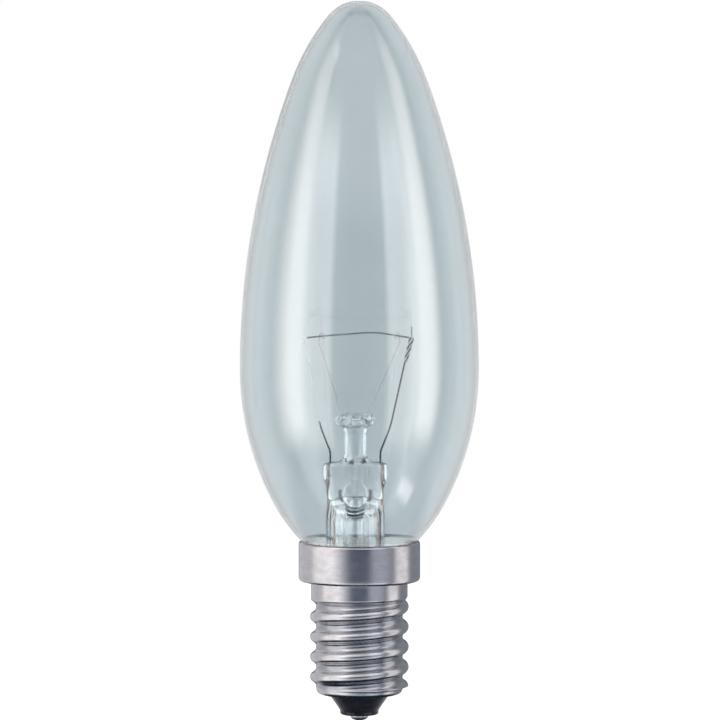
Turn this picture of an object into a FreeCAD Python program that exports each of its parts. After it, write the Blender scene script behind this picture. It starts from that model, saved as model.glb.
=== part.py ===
import FreeCAD, Part
import math
import os

import Sketcher

# A clear candle lamp on an E14 screw cap, standing cap down.
# The frame: origin at the bottom of the centre contact, +Z up to the tip of the
# glass, +X along the two leads, -Y towards the side with the exhaust hole.

DRIVING_SIZES = [
    # the screw cap
    ("skirt_step", 1.75),
    ("skirt_height", 5.55),
    ("skirt_round", 0.6),
    ("rim_round", 0.22),
    ("collar_drop", 0.15),
    ("collar_height", 2.15),
    ("thread_major", 13.8),
    ("thread_depth", 0.85),
    ("thread_pitch", 2.822),
    ("thread_height", 12.91),
    ("first_crest", 1.48),
    ("runout_top", 1.0),
    ("runout_bottom", 0.32),
    ("end_ledge", 0.1),
    ("end_overlap", 0.1),
    ("sheet", 0.32),
    ("curl_round", 0.7),
    ("curl_slope", 0.28),
    ("lip_width", 1.85),
    # the insulator and the centre contact
    ("contact_drop", 0.85),
    ("insulator_drop", 2.74),
    ("cone_run", 1.5),
    ("insulator_rim", 0.6),
    ("insulator_round", 0.35),
    ("insulator_depth", 2.0),
    ("wire_hole", 1.2),
    ("contact_margin", 0.8),
    ("contact_sheet", 0.25),
    ("contact_collar", 0.8),
    ("solder_diameter", 2.6),
    ("solder_flat", 1.0),
    # the glass envelope
    ("bulb_height", 75.25),
    ("bulb_diameter", 33.3),
    ("belly_height", 24.1),
    ("glass_wall", 0.6),
    ("tip_radius", 5.55),
    ("shoulder_radius", 31.0),
    ("side_flatness", 0.0973),
    ("belly_flatness", 0.0422),
    ("lower_radius", 21.7),
    ("neck_radius", 2.6),
    ("cement_room", 1.28),
    ("neck_gap", 0.3),
    ("cement_height", 3.2),
    ("cement_rise", 1.6),
    # the stem
    ("mount_offset", -0.55),
    ("tube_diameter", 8.3),
    ("tube_wall", 0.75),
    ("tube_height", 8.0),
    ("flare_height", 3.6),
    ("flare_step", 0.3),
    ("squeeze_height", 3.6),
    ("press_height", 4.4),
    ("press_width", 9.2),
    ("press_depth", 4.0),
    ("press_round", 0.3),
    ("slit_width", 7.9),
    ("slit_depth", 0.9),
    ("slit_gap", 0.4),
    ("exhaust_diameter", 3.6),
    ("exhaust_wall", 0.6),
    ("exhaust_seat", 0.8),
    ("exhaust_length", 18.5),
    ("blow_hole", 3.1),
    ("blow_height", 0.25),
    ("rod_diameter", 3.3),
    ("rod_height", 4.9),
    ("button_diameter", 5.8),
    ("button_height", 1.9),
    ("button_round", 0.65),
    # the wires
    ("lead_spacing", 7.0),
    ("lead_wire", 0.3),
    ("lead_rise", 1.5),
    ("knee_rise", 5.0),
    ("knee_spread", 9.8),
    ("tip_rise", 17.4),
    ("left_reach", 7.4),
    ("right_reach", 8.1),
    ("clamp_length", 3.4),
    ("clamp_width", 0.54),
    ("clamp_bend", 0.23),
    ("lead_bend", 2.2),
    ("knee_bend", 12.0),
    ("seal_wire", 0.4),
    ("outer_wire", 0.36),
    ("outer_spacing", 6.2),
    ("outer_run", 4.0),
    ("outer_bend", 2.0),
    ("side_bend", 1.2),
    ("fuse_wire", 0.16),
    ("fuse_place", 0.273),
    ("fuse_share", 0.155),
    ("centre_share", 0.162),
    ("bead_diameter", 1.3),
    ("bead_depth", 0.5),
    ("support_wire", 0.16),
    ("support_spacing", 3.9),
    ("support_embed", 1.2),
    ("support_rise", 0.4),
    ("hook_round", 0.42),
    ("hook_pitch", 0.12),
    # the filament
    ("filament_diameter", 0.3),
    ("filament_drop", 0.1),
    ("filament_gap", 0.05),
    ("hook_left", 5.1),
    ("hook_right", 6.15),
    ("hook_back", 4.6),
    ("arch_back", 1.6),
    ("arch_rise", 0.55),
    ("arch_lean", 0.15),
    ("arch_place", 0.3),
    ("tail_rise", 1.6),
    # what fits together
    ("fit_gap", 0.02),
]

doc = FreeCAD.newDocument("candle_bulb")
sheet = doc.addObject("Spreadsheet::Sheet", "Sizes")
for row, (alias, number) in enumerate(DRIVING_SIZES, start=1):
    sheet.set("A%d" % row, alias.replace("_", " "))
    sheet.set("B%d" % row, str(number))
    sheet.setAlias("B%d" % row, alias)
doc.recompute()


class Size:
    """A length that knows its number now and the expression that gives it."""

    def __init__(self, value, text):
        self.value = value
        self.text = text

    def join(self, other, sign, value):
        return Size(value, "(%s %s %s)" % (self.text, sign, other.text))

    def __add__(self, other):
        other = as_size(other)
        return self.join(other, "+", self.value + other.value)

    def __sub__(self, other):
        other = as_size(other)
        return self.join(other, "-", self.value - other.value)

    def __mul__(self, other):
        other = as_size(other)
        return self.join(other, "*", self.value * other.value)

    def __truediv__(self, other):
        other = as_size(other)
        return self.join(other, "/", self.value / other.value)

    def __neg__(self):
        return as_size(0) - self


def as_size(number):
    return number if isinstance(number, Size) else Size(float(number), repr(number))


def size(alias):
    return Size(float(sheet.get(alias)), "Sizes." + alias)


ZERO = as_size(0)
GAP = size("fit_gap")

# How much of its shorter run a round of the filament or of a support may use.
ROUND_SHARE = 0.45

# Heights up the axis, each one standing on the last.
insulator_base = size("contact_drop")
lip_height = insulator_base + size("insulator_drop")
curl_top = lip_height + size("curl_slope") + size("curl_round")
collar_base = curl_top + size("thread_height")
skirt_base = collar_base + size("collar_height")
rim_height = skirt_base + size("skirt_height")
neck_base = skirt_base + size("sheet") + size("neck_gap")
tube_top = neck_base + size("tube_height")
press_base = tube_top + size("squeeze_height")
press_top = press_base + size("press_height")
slit_top = press_base - size("slit_gap")
exhaust_top = press_base - size("exhaust_seat")
blow_centre = press_base + size("blow_height")
seal_foot = slit_top
button_base = press_top + size("rod_height")
button_top = button_base + size("button_height")
tip_height = press_top + size("tip_rise")
filament_height = tip_height - size("filament_drop")
insulator_top = lip_height + size("insulator_depth")
solder_top = insulator_base + size("contact_sheet") + size("contact_collar")

# Radii that several pieces share, each one stepped from the thread outside or inwards.
thread_crest = size("thread_major") / 2
thread_root = thread_crest - size("thread_depth")
thread_bore = thread_root - size("sheet")
collar_outer = thread_crest - size("collar_drop")
collar_bore = collar_outer - size("sheet")
skirt_outer = collar_outer + size("skirt_step")
skirt_bore = skirt_outer - size("sheet")
lip_radius = thread_root - size("lip_width")
base_radius = lip_radius - size("cone_run")
contact_radius = base_radius - size("contact_margin")
neck_outer = skirt_bore - size("cement_room")
neck_inner = neck_outer - size("glass_wall")
glass_entry = skirt_bore - GAP * 2
mount_axis = size("mount_offset")

# The long arcs of the glass. Each is flatter, by its named share, than the arc that
# would run from the widest place straight into the tip, or into the skirt.
half_bulb = size("bulb_diameter") / 2
tip_climb = size("bulb_height") - size("belly_height") - size("tip_radius")
tip_run = half_bulb - size("tip_radius")
side_radius = (size("side_flatness") + 1) * (
    tip_climb * tip_climb + half_bulb * half_bulb - size("tip_radius") * size("tip_radius")
) / (tip_run * 2)
entry_run = half_bulb - glass_entry
belly_radius = (size("belly_flatness") + 1) * (
    size("belly_height") * size("belly_height") + entry_run * entry_run) / (entry_run * 2)


def new_body(label):
    body = doc.addObject("PartDesign::Body", label)
    body.Label = label
    return body


def new_sketch(body, name, role="XZ_Plane", height=None):
    """A sketch on one of the body's own origin planes, lifted along Z if asked."""
    sketch = body.newObject("Sketcher::SketchObject", name)
    plane = [p for p in body.Origin.OriginFeatures if p.Role == role][0]
    sketch.AttachmentSupport = [(plane, "")]
    sketch.MapMode = "FlatFace"
    if height is not None:
        sketch.setExpression("AttachmentOffset.Base.z", height.text)
    return sketch


def pin_one(sketch, geo, pos, kind, length):
    """Ties a point of the sketch to its distance from the vertical or level axis."""
    if length.text == "0":
        axis = -2 if kind == "DistanceX" else -1
        sketch.addConstraint(Sketcher.Constraint("PointOnObject", geo, pos, axis))
        return
    index = sketch.addConstraint(Sketcher.Constraint(kind, -1, 1, geo, pos, length.value))
    sketch.setExpression("Constraints[%d]" % index, length.text)


def pin_point(sketch, geo, pos, place):
    """Ties a point of the sketch to its place, given as two sizes."""
    pin_one(sketch, geo, pos, "DistanceX", place[0])
    pin_one(sketch, geo, pos, "DistanceY", place[1])


def bind_radius(sketch, geo, radius):
    index = sketch.addConstraint(Sketcher.Constraint("Radius", geo, radius.value))
    sketch.setExpression("Constraints[%d]" % index, radius.text)


def vector(place):
    return FreeCAD.Vector(place[0].value, place[1].value, 0)


def arc_between(start, end, radius, turn):
    """The arc from start to end; turn is 1 with its centre on the left, -1 on the right."""
    middle = (start + end) * 0.5
    half = (end - start) * 0.5
    side = FreeCAD.Vector(-half.y, half.x, 0).normalize()
    depth = math.sqrt(max(radius ** 2 - half.Length ** 2, 0.0))
    centre = middle + side * (turn * depth)
    first, last = (start, end) if turn > 0 else (end, start)
    angles = [math.atan2(p.y - centre.y, p.x - centre.x) for p in (first, last)]
    circle = Part.Circle(centre, FreeCAD.Vector(0, 0, 1), radius)
    return Part.ArcOfCircle(circle, angles[0], angles[1])


def draw_profile(sketch, corners):
    """A closed profile. A corner is (x, z), or (x, z, radius, turn) where the side
    that starts there is an arc."""
    ends = []
    for index, corner in enumerate(corners):
        start = vector(corner)
        end = vector(corners[(index + 1) % len(corners)])
        if len(corner) == 2:
            geo = sketch.addGeometry(Part.LineSegment(start, end), False)
            ends.append((geo, 1, 2))
        else:
            geo = sketch.addGeometry(arc_between(start, end, corner[2].value, corner[3]), False)
            ends.append((geo, 1, 2) if corner[3] > 0 else (geo, 2, 1))
    for index, corner in enumerate(corners):
        geo, first, last = ends[index]
        following = ends[(index + 1) % len(corners)]
        sketch.addConstraint(
            Sketcher.Constraint("Coincident", geo, last, following[0], following[1]))
        pin_point(sketch, geo, first, corner)
        if len(corner) == 4:
            bind_radius(sketch, geo, corner[2])


def revolve(body, name, corners, kind="PartDesign::Revolution"):
    """Turns a profile of the XZ plane about the Z axis, to add it or to cut it away."""
    sketch = new_sketch(body, name + "_profile")
    draw_profile(sketch, corners)
    doc.recompute()
    feature = body.newObject(kind, name)
    feature.Profile = sketch
    feature.ReferenceAxis = (sketch, ["V_Axis"])
    feature.Angle = 360
    doc.recompute()
    return feature


def circle_sketch(body, name, centre, radius, height=None, role="XY_Plane"):
    sketch = new_sketch(body, name, role, height)
    circle = Part.Circle(vector(centre), FreeCAD.Vector(0, 0, 1), radius.value)
    geo = sketch.addGeometry(circle, False)
    pin_point(sketch, geo, 3, centre)
    bind_radius(sketch, geo, radius)
    return sketch


def slot_sketch(body, name, centre, width, depth, height):
    """A flat-sided slot with round ends, its long way along X."""
    sketch = new_sketch(body, name, "XY_Plane", height)
    reach = (width - depth) / 2
    half = depth / 2
    x, y = centre
    left, right = x - reach, x + reach
    low, high = y - half, y + half
    front = sketch.addGeometry(Part.LineSegment(vector((left, low)), vector((right, low))), False)
    back = sketch.addGeometry(Part.LineSegment(vector((right, high)), vector((left, high))), False)
    up = FreeCAD.Vector(0, 0, 1)
    quarter = math.pi / 2
    east = sketch.addGeometry(
        Part.ArcOfCircle(Part.Circle(vector((right, y)), up, half.value), -quarter, quarter), False)
    west = sketch.addGeometry(
        Part.ArcOfCircle(Part.Circle(vector((left, y)), up, half.value), quarter, 3 * quarter), False)
    for first, end, second, start in (
            (front, 2, east, 1), (east, 2, back, 1), (back, 2, west, 1), (west, 2, front, 1)):
        sketch.addConstraint(Sketcher.Constraint("Tangent", first, end, second, start))
    pin_point(sketch, east, 3, (right, y))
    pin_point(sketch, west, 3, (left, y))
    bind_radius(sketch, east, half)
    return sketch


def ring_sketch(body, name, centre, radius, height):
    """A circle drawn as four arcs that meet on the diagonals, so that a loft carries
    each one to its own side of a slot."""
    sketch = new_sketch(body, name, "XY_Plane", height)
    x, y = centre
    reach = radius * math.sqrt(0.5)
    quarter = math.pi / 2
    circle = Part.Circle(vector(centre), FreeCAD.Vector(0, 0, 1), radius.value)
    starts = [-1.5, -0.5, 0.5, 1.5]
    arcs = [sketch.addGeometry(
        Part.ArcOfCircle(circle, start * quarter, (start + 1) * quarter), False)
        for start in starts]
    for index, side in enumerate((-1, 1, 1, -1)):
        before = arcs[index - 1]
        sketch.addConstraint(Sketcher.Constraint("Coincident", before, 2, arcs[index], 1))
        pin_one(sketch, arcs[index], 1, "DistanceX", x + reach * side)
    for arc in arcs[:3]:
        pin_point(sketch, arc, 3, centre)
    pin_one(sketch, arcs[3], 3, "DistanceX", x)
    bind_radius(sketch, arcs[0], radius)
    return sketch


def extrude(body, name, sketch, length, kind="PartDesign::Pad", reverse=False):
    feature = body.newObject(kind, name)
    feature.Profile = sketch
    feature.setExpression("Length", length.text)
    feature.Reversed = reverse
    doc.recompute()
    return feature


def loft(body, name, sketches, kind="PartDesign::AdditiveLoft"):
    doc.recompute()
    feature = body.newObject(kind, name)
    feature.Profile = sketches[0]
    feature.Sections = sketches[1:]
    feature.Ruled = True
    doc.recompute()
    return feature


def round_edges(body, name, radius, wanted):
    """Rounds the circular edges that lie at the given radius and height."""
    names = []
    for index, edge in enumerate(body.Tip.Shape.Edges, start=1):
        if not isinstance(edge.Curve, Part.Circle):
            continue
        here = (edge.Curve.Radius, edge.Curve.Center.z)
        if any(abs(here[0] - r.value) < 0.005 and abs(here[1] - z.value) < 0.005
               for r, z in wanted):
            names.append("Edge%d" % index)
    feature = body.newObject("PartDesign::Fillet", name)
    feature.Base = (feature.BaseFeature, names)
    feature.setExpression("Radius", radius.text)
    doc.recompute()
    return feature


def round_top(body, name, radius, height):
    """Rounds every edge that lies flat at the given height."""
    names = ["Edge%d" % index for index, edge in enumerate(body.Tip.Shape.Edges, start=1)
             if abs(edge.BoundBox.ZMin - height.value) < 0.005]
    feature = body.newObject("PartDesign::Fillet", name)
    feature.Base = (feature.BaseFeature, names)
    feature.setExpression("Radius", radius.text)
    doc.recompute()
    return feature


def corner_arc(before, corner, after, radius):
    """Where a route leaves a corner on a round of the given radius: the two ends
    and the middle of the round."""
    inward = (before - corner).normalize()
    outward = (after - corner).normalize()
    half_turn = (math.pi - inward.getAngle(outward)) / 2
    trim = radius * math.tan(half_turn)
    bisector = (inward + outward).normalize()
    middle = corner + bisector * (radius / math.cos(half_turn) - radius)
    return corner + inward * trim, middle, corner + outward * trim


def route_wire(points, radii):
    """Straight runs through the points, joined by tangent rounds at the inner ones."""
    edges = []
    start = points[0]
    for index, radius in enumerate(radii, start=1):
        first, middle, last = corner_arc(points[index - 1], points[index], points[index + 1], radius)
        edges.append(Part.LineSegment(start, first).toShape())
        edges.append(Part.Arc(first, middle, last).toShape())
        start = last
    edges.append(Part.LineSegment(start, points[-1]).toShape())
    return Part.Wire(edges)


def sweep_round(path, radius):
    """A solid round wire of the given radius along the path."""
    start = path.Edges[0].Vertexes[0].Point
    heading = path.Edges[0].tangentAt(path.Edges[0].FirstParameter)
    section = Part.Wire(Part.Circle(start, heading, radius).toShape())
    return path.makePipeShell([section], True, True)


def flat_wire(label, places, radii, diameter):
    """A wire bent in the XZ plane that starts straight up or down: a round section
    carried along a sketched route."""
    body = new_body(label)
    route = new_sketch(body, label + "_route")
    points = [vector(place) for place in places]
    corners = [None]
    previous = None
    start = points[0]
    for index, radius in enumerate(radii, start=1):
        first, middle, last = corner_arc(
            points[index - 1], points[index], points[index + 1], radius.value)
        line = route.addGeometry(Part.LineSegment(start, first), False)
        bend = (points[index] - points[index - 1]).cross(points[index + 1] - points[index]).z
        turn = 1 if bend > 0 else -1
        arc = route.addGeometry(arc_between(first, last, radius.value, turn), False)
        corner = route.addGeometry(Part.Point(points[index]), True)
        entry, leave = (1, 2) if turn > 0 else (2, 1)
        if previous:
            route.addConstraint(Sketcher.Constraint("Tangent", previous[0], previous[1], line, 1))
            route.addConstraint(Sketcher.Constraint("PointOnObject", corners[-1], 1, line))
        else:
            pin_point(route, line, 1, places[0])
        route.addConstraint(Sketcher.Constraint("Tangent", line, 2, arc, entry))
        route.addConstraint(Sketcher.Constraint("PointOnObject", corner, 1, line))
        pin_point(route, corner, 1, places[index])
        bind_radius(route, arc, radius)
        corners.append(corner)
        previous = (arc, leave)
        start = last
    line = route.addGeometry(Part.LineSegment(start, points[-1]), False)
    route.addConstraint(Sketcher.Constraint("Tangent", previous[0], previous[1], line, 1))
    route.addConstraint(Sketcher.Constraint("PointOnObject", corners[-1], 1, line))
    pin_point(route, line, 2, places[-1])
    section = circle_sketch(body, label + "_section", (places[0][0], ZERO), diameter / 2, places[0][1])
    doc.recompute()
    pipe = body.newObject("PartDesign::AdditivePipe", label + "_pipe")
    pipe.Profile = section
    pipe.Spine = route
    pipe.Transition = "Transformed"
    doc.recompute()
    return body


def straight_wire(label, x, bottom, top, diameter):
    """A straight upright wire in the XZ plane."""
    body = new_body(label)
    section = circle_sketch(body, label + "_section", (x, ZERO), diameter / 2, bottom)
    extrude(body, label + "_run", section, top - bottom)
    return body


def circle_meet(centre_a, radius_a, centre_b, radius_b, side):
    """Where two circles cross; side 1 is on the left of the way from a to b."""
    way = centre_b - centre_a
    distance = way.Length
    along = (radius_a ** 2 - radius_b ** 2 + distance ** 2) / (2 * distance)
    across = math.sqrt(radius_a ** 2 - along ** 2)
    unit = way * (1 / distance)
    normal = FreeCAD.Vector(-unit.y, unit.x, 0)
    return centre_a + unit * along + normal * (side * across)


def touch_point(centre_a, radius_a, centre_b, inside):
    """Where circle a touches the circle about b, which holds it or lies beside it."""
    way = (centre_a - centre_b) if inside else (centre_b - centre_a)
    return centre_a + way.normalize() * radius_a


def glass_arcs():
    """Centre and radius of each arc of the envelope's outer side, tip first, and the
    points where each hands over to the next."""
    tip_r = size("tip_radius").value
    shoulder_r = size("shoulder_radius").value
    side_r = side_radius.value
    belly_r = belly_radius.value
    lower_r = size("lower_radius").value
    neck_r = size("neck_radius").value
    top = (rim_height + size("bulb_height")).value
    widest = half_bulb.value
    belly = (rim_height + size("belly_height")).value
    tip = FreeCAD.Vector(0, top - tip_r, 0)
    side = FreeCAD.Vector(widest - side_r, belly, 0)
    shoulder = circle_meet(tip, shoulder_r - tip_r, side, side_r - shoulder_r, 1)
    low = FreeCAD.Vector(widest - belly_r, belly, 0)
    entry = vector((glass_entry, rim_height))
    lower = circle_meet(low, belly_r - lower_r, entry, lower_r, 1)
    neck_x = neck_outer.value + neck_r
    drop = math.sqrt((lower_r + neck_r) ** 2 - (neck_x - lower.x) ** 2)
    neck = FreeCAD.Vector(neck_x, lower.y - drop, 0)
    arcs = [(tip, tip_r), (shoulder, shoulder_r), (side, side_r), (low, belly_r),
            (lower, lower_r), (neck, neck_r)]
    joints = [
        FreeCAD.Vector(0, top, 0),
        touch_point(tip, tip_r, shoulder, True),
        touch_point(shoulder, shoulder_r, side, True),
        FreeCAD.Vector(widest, belly, 0),
        touch_point(lower, lower_r, low, True),
        touch_point(lower, lower_r, neck, False),
        FreeCAD.Vector(neck_outer.value, neck.y, 0),
    ]
    return arcs, joints


def add_side(sketch, arcs, joints, grow, foot_x, foot_z):
    """One side of the glass wall: six tangent arcs from the tip down and the straight
    neck. grow moves it off the given arcs: 0 outside, minus the wall inside."""
    up = FreeCAD.Vector(0, 0, 1)
    numbers = []
    shifted = []
    for index, point in enumerate(joints):
        centre, radius = arcs[min(index, 5)]
        sign = -1 if index >= 5 else 1
        away = (point - centre).normalize()
        shifted.append(centre + away * (radius + sign * grow))
    for index, (centre, radius) in enumerate(arcs):
        sign = -1 if index == 5 else 1
        circle = Part.Circle(centre, up, radius + sign * grow)
        upper, under = shifted[index], shifted[index + 1]
        first, last = (under, upper) if index < 5 else (upper, under)
        angles = [math.atan2(p.y - centre.y, p.x - centre.x) for p in (first, last)]
        numbers.append(sketch.addGeometry(Part.ArcOfCircle(circle, angles[0], angles[1]), False))
    foot = FreeCAD.Vector(foot_x.value, foot_z.value, 0)
    line = sketch.addGeometry(Part.LineSegment(shifted[6], foot), False)
    for index in range(4):
        sketch.addConstraint(
            Sketcher.Constraint("Tangent", numbers[index], 1, numbers[index + 1], 2))
    sketch.addConstraint(Sketcher.Constraint("Tangent", numbers[4], 1, numbers[5], 1))
    sketch.addConstraint(Sketcher.Constraint("Tangent", numbers[5], 2, line, 1))
    sketch.addConstraint(Sketcher.Constraint("Vertical", line))
    sketch.addConstraint(Sketcher.Constraint("PointOnObject", numbers[0], 2, -2))
    return numbers, line


def make_envelope():
    """The blown glass: one wall of even thickness, closed at the tip, open at the neck."""
    body = new_body("glass_envelope")
    sketch = new_sketch(body, "glass_profile")
    arcs, joints = glass_arcs()
    wall = size("glass_wall")
    outer, outer_neck = add_side(sketch, arcs, joints, 0.0, neck_outer, neck_base)
    inner, inner_neck = add_side(sketch, arcs, joints, -wall.value, neck_inner, neck_base)
    top = rim_height + size("bulb_height")
    radii = [size("tip_radius"), size("shoulder_radius"), side_radius, belly_radius,
             size("lower_radius"), size("neck_radius")]
    for geo, radius in zip(outer, radii):
        bind_radius(sketch, geo, radius)
    pin_one(sketch, outer[0], 2, "DistanceY", top)
    sketch.addConstraint(Sketcher.Constraint("PointOnObject", outer[0], 3, -2))
    pin_point(sketch, outer[2], 1, (half_bulb, rim_height + size("belly_height")))
    sketch.addConstraint(Sketcher.Constraint("Horizontal", outer[2], 3, outer[2], 1))
    entry = sketch.addGeometry(Part.Point(vector((glass_entry, rim_height))), True)
    pin_point(sketch, entry, 1, (glass_entry, rim_height))
    sketch.addConstraint(Sketcher.Constraint("PointOnObject", entry, 1, outer[4]))
    pin_point(sketch, outer_neck, 2, (neck_outer, neck_base))
    for geo, partner in zip(inner, outer):
        sketch.addConstraint(Sketcher.Constraint("Coincident", geo, 3, partner, 3))
    bind_radius(sketch, inner[0], size("tip_radius") - wall)
    pin_one(sketch, inner_neck, 2, "DistanceY", neck_base)
    crown = sketch.addGeometry(Part.LineSegment(
        FreeCAD.Vector(0, top.value - wall.value, 0), FreeCAD.Vector(0, top.value, 0)), False)
    edge = sketch.addGeometry(Part.LineSegment(
        vector((neck_outer, neck_base)), vector((neck_inner, neck_base))), False)
    sketch.addConstraint(Sketcher.Constraint("Coincident", crown, 1, inner[0], 2))
    sketch.addConstraint(Sketcher.Constraint("Coincident", crown, 2, outer[0], 2))
    sketch.addConstraint(Sketcher.Constraint("Coincident", edge, 1, outer_neck, 2))
    sketch.addConstraint(Sketcher.Constraint("Coincident", edge, 2, inner_neck, 2))
    doc.recompute()
    blown = body.newObject("PartDesign::Revolution", "blown_glass")
    blown.Profile = sketch
    blown.ReferenceAxis = (sketch, ["V_Axis"])
    blown.Angle = 360
    doc.recompute()
    return body


def make_stem():
    """The stem glass: a flared tube, squeezed flat at its top into the press."""
    body = new_body("stem_tube")
    half = size("tube_diameter") / 2
    bore = half - size("tube_wall")
    wall = size("tube_wall")
    flare_top = neck_base + size("flare_height")
    bell = neck_inner - GAP
    throat = half - mount_axis + size("flare_step")
    revolve(body, "flare", [
        (ZERO, neck_base), (bell, neck_base), (bell, neck_base + wall),
        (throat, flare_top), (ZERO, flare_top)])
    tube = circle_sketch(body, "tube_circle", (mount_axis, ZERO), half, neck_base)
    extrude(body, "tube", tube, tube_top - neck_base)
    shoulder = ring_sketch(body, "squeeze_ring", (mount_axis, ZERO), half, tube_top)
    flat = slot_sketch(body, "squeeze_slot", (mount_axis, ZERO),
                       size("press_width"), size("press_depth"), press_base)
    loft(body, "squeeze", [shoulder, flat])
    press = slot_sketch(body, "press_slot", (mount_axis, ZERO),
                        size("press_width"), size("press_depth"), press_base)
    extrude(body, "press", press, size("press_height"))
    round_top(body, "press_rounding", size("press_round"), press_top)
    revolve(body, "flare_hollow", [
        (ZERO, neck_base), (bell - wall, neck_base), (throat - wall, flare_top - wall),
        (ZERO, flare_top - wall)], "PartDesign::Groove")
    hollow = circle_sketch(body, "bore_circle", (mount_axis, ZERO), bore, tube_top)
    extrude(body, "bore", hollow, size("tube_height"), "PartDesign::Pocket")
    roof = ring_sketch(body, "roof_ring", (mount_axis, ZERO), bore, tube_top)
    slit = slot_sketch(body, "roof_slit", (mount_axis, ZERO),
                       size("slit_width"), size("slit_depth"), slit_top)
    loft(body, "roof", [roof, slit], "PartDesign::SubtractiveLoft")
    seat = circle_sketch(body, "exhaust_seat_circle", (mount_axis, ZERO),
                         size("exhaust_diameter") / 2 + GAP, exhaust_top + GAP)
    extrude(body, "exhaust_seat", seat, exhaust_top - tube_top, "PartDesign::Pocket")
    vent_radius = size("exhaust_diameter") / 2 - size("exhaust_wall")
    vent = circle_sketch(body, "vent_circle", (mount_axis, ZERO), vent_radius, blow_centre)
    extrude(body, "vent", vent, blow_centre - exhaust_top, "PartDesign::Pocket")
    blow = circle_sketch(body, "blow_circle", (mount_axis, blow_centre),
                         size("blow_hole") / 2, role="XZ_Plane")
    extrude(body, "blow", blow, size("tube_diameter"), "PartDesign::Pocket", reverse=True)
    for side, name in ((-1, "left"), (1, "right")):
        place = (mount_axis + size("lead_spacing") / 2 * side, ZERO)
        hole = circle_sketch(body, name + "_seal_circle", place,
                             size("seal_wire") / 2 + GAP, press_top)
        extrude(body, name + "_seal", hole, press_top - slit_top + size("slit_gap"),
                "PartDesign::Pocket")
    return body


def make_exhaust():
    """The exhaust tube that the lamp was pumped through, melted shut at its foot."""
    body = new_body("exhaust_tube")
    outer = size("exhaust_diameter") / 2
    inner = outer - size("exhaust_wall")
    foot = exhaust_top - size("exhaust_length")
    revolve(body, "exhaust", [
        (ZERO, foot), (outer / 3, foot, outer * 2 / 3, 1), (outer, foot + outer * 2 / 3),
        (outer, exhaust_top), (inner, exhaust_top), (inner, foot + outer * 2),
        (ZERO, foot + outer)])
    body.setExpression("Placement.Base.x", mount_axis.text)
    return body


def make_button_rod():
    """The glass cane on the press and the flattened button that holds the supports."""
    body = new_body("button_rod")
    rod = size("rod_diameter") / 2
    button = size("button_diameter") / 2
    revolve(body, "cane", [
        (ZERO, press_top), (rod, press_top), (rod, button_base), (button, button_base),
        (button, button_top), (ZERO, button_top)])
    round_edges(body, "button_rounding", size("button_round"),
                [(button, button_base), (button, button_top)])
    for side, name in ((-1, "left"), (1, "right")):
        place = (size("support_spacing") / 2 * side, ZERO)
        hole = circle_sketch(body, name + "_socket_circle", place,
                             size("support_wire") / 2 + GAP, button_top)
        extrude(body, name + "_socket", hole, size("support_embed") + GAP, "PartDesign::Pocket")
    body.setExpression("Placement.Base.x", mount_axis.text)
    return body


def make_inner_lead(name, side, reach):
    """A nickel lead from the press up to its clamp, bent back on itself at the tip."""
    half = size("lead_spacing") / 2
    knee = size("knee_spread") / 2
    clamp = size("clamp_width")
    lean = (reach - knee) / (tip_height - press_top - size("knee_rise"))
    low = tip_height - size("clamp_length")
    back = reach - lean * size("clamp_length")
    places = [
        (mount_axis + half * side, press_top),
        (mount_axis + half * side, press_top + size("lead_rise")),
        (mount_axis + knee * side, press_top + size("knee_rise")),
        (mount_axis + (reach - clamp) * side, tip_height),
        (mount_axis + reach * side, tip_height + lean * clamp),
        (mount_axis + (back + lean * clamp) * side, low),
    ]
    radii = [size("lead_bend"), size("knee_bend"), size("clamp_bend"), size("clamp_bend")]
    return flat_wire(name + "_inner_lead", places, radii, size("lead_wire"))


def make_outer_leads():
    """The copper tails under the press. The right one turns out to the collar; the
    left one goes on through a thin fuse wire to the centre contact."""
    spread = size("lead_spacing") / 2
    close = size("outer_spacing") / 2
    down = [
        (spread, seal_foot),
        (spread, seal_foot - size("outer_bend") / 2),
        (close, seal_foot - size("outer_run")),
    ]
    bends = [size("outer_bend"), size("outer_bend")]
    side_height = neck_base - size("bead_diameter")
    wall_end = collar_bore - GAP - size("bead_depth") - mount_axis
    right = [(mount_axis + x, z) for x, z in down]
    right += [(mount_axis + close, side_height), (mount_axis + wall_end, side_height)]
    right_tail = flat_wire(
        "right_outer_lead", right, bends + [size("side_bend")], size("outer_wire"))
    run = seal_foot - insulator_top
    fuse_foot = insulator_top + run * size("fuse_place")
    fuse_top = fuse_foot + run * size("fuse_share")
    left = [(mount_axis - x, z) for x, z in down] + [(mount_axis - close, fuse_top)]
    left_tail = flat_wire("left_outer_lead", left, bends, size("outer_wire"))
    fuse = straight_wire(
        "fuse_wire", mount_axis - close, fuse_foot, fuse_top, size("fuse_wire"))
    centre_entry = insulator_top + size("outer_bend") / 2
    contact = [
        (mount_axis - close, fuse_foot),
        (mount_axis - close, centre_entry + run * size("centre_share")),
        (ZERO, centre_entry),
        (ZERO, solder_top),
    ]
    contact_tail = flat_wire("contact_lead", contact, bends, size("outer_wire"))
    return [right_tail, left_tail, fuse, contact_tail]


def primitive(kind, name, **lengths):
    """A Part primitive with its lengths bound to the sheet."""
    piece = doc.addObject(kind, name)
    for key, length in lengths.items():
        piece.setExpression(key, length.text)
    return piece


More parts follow.
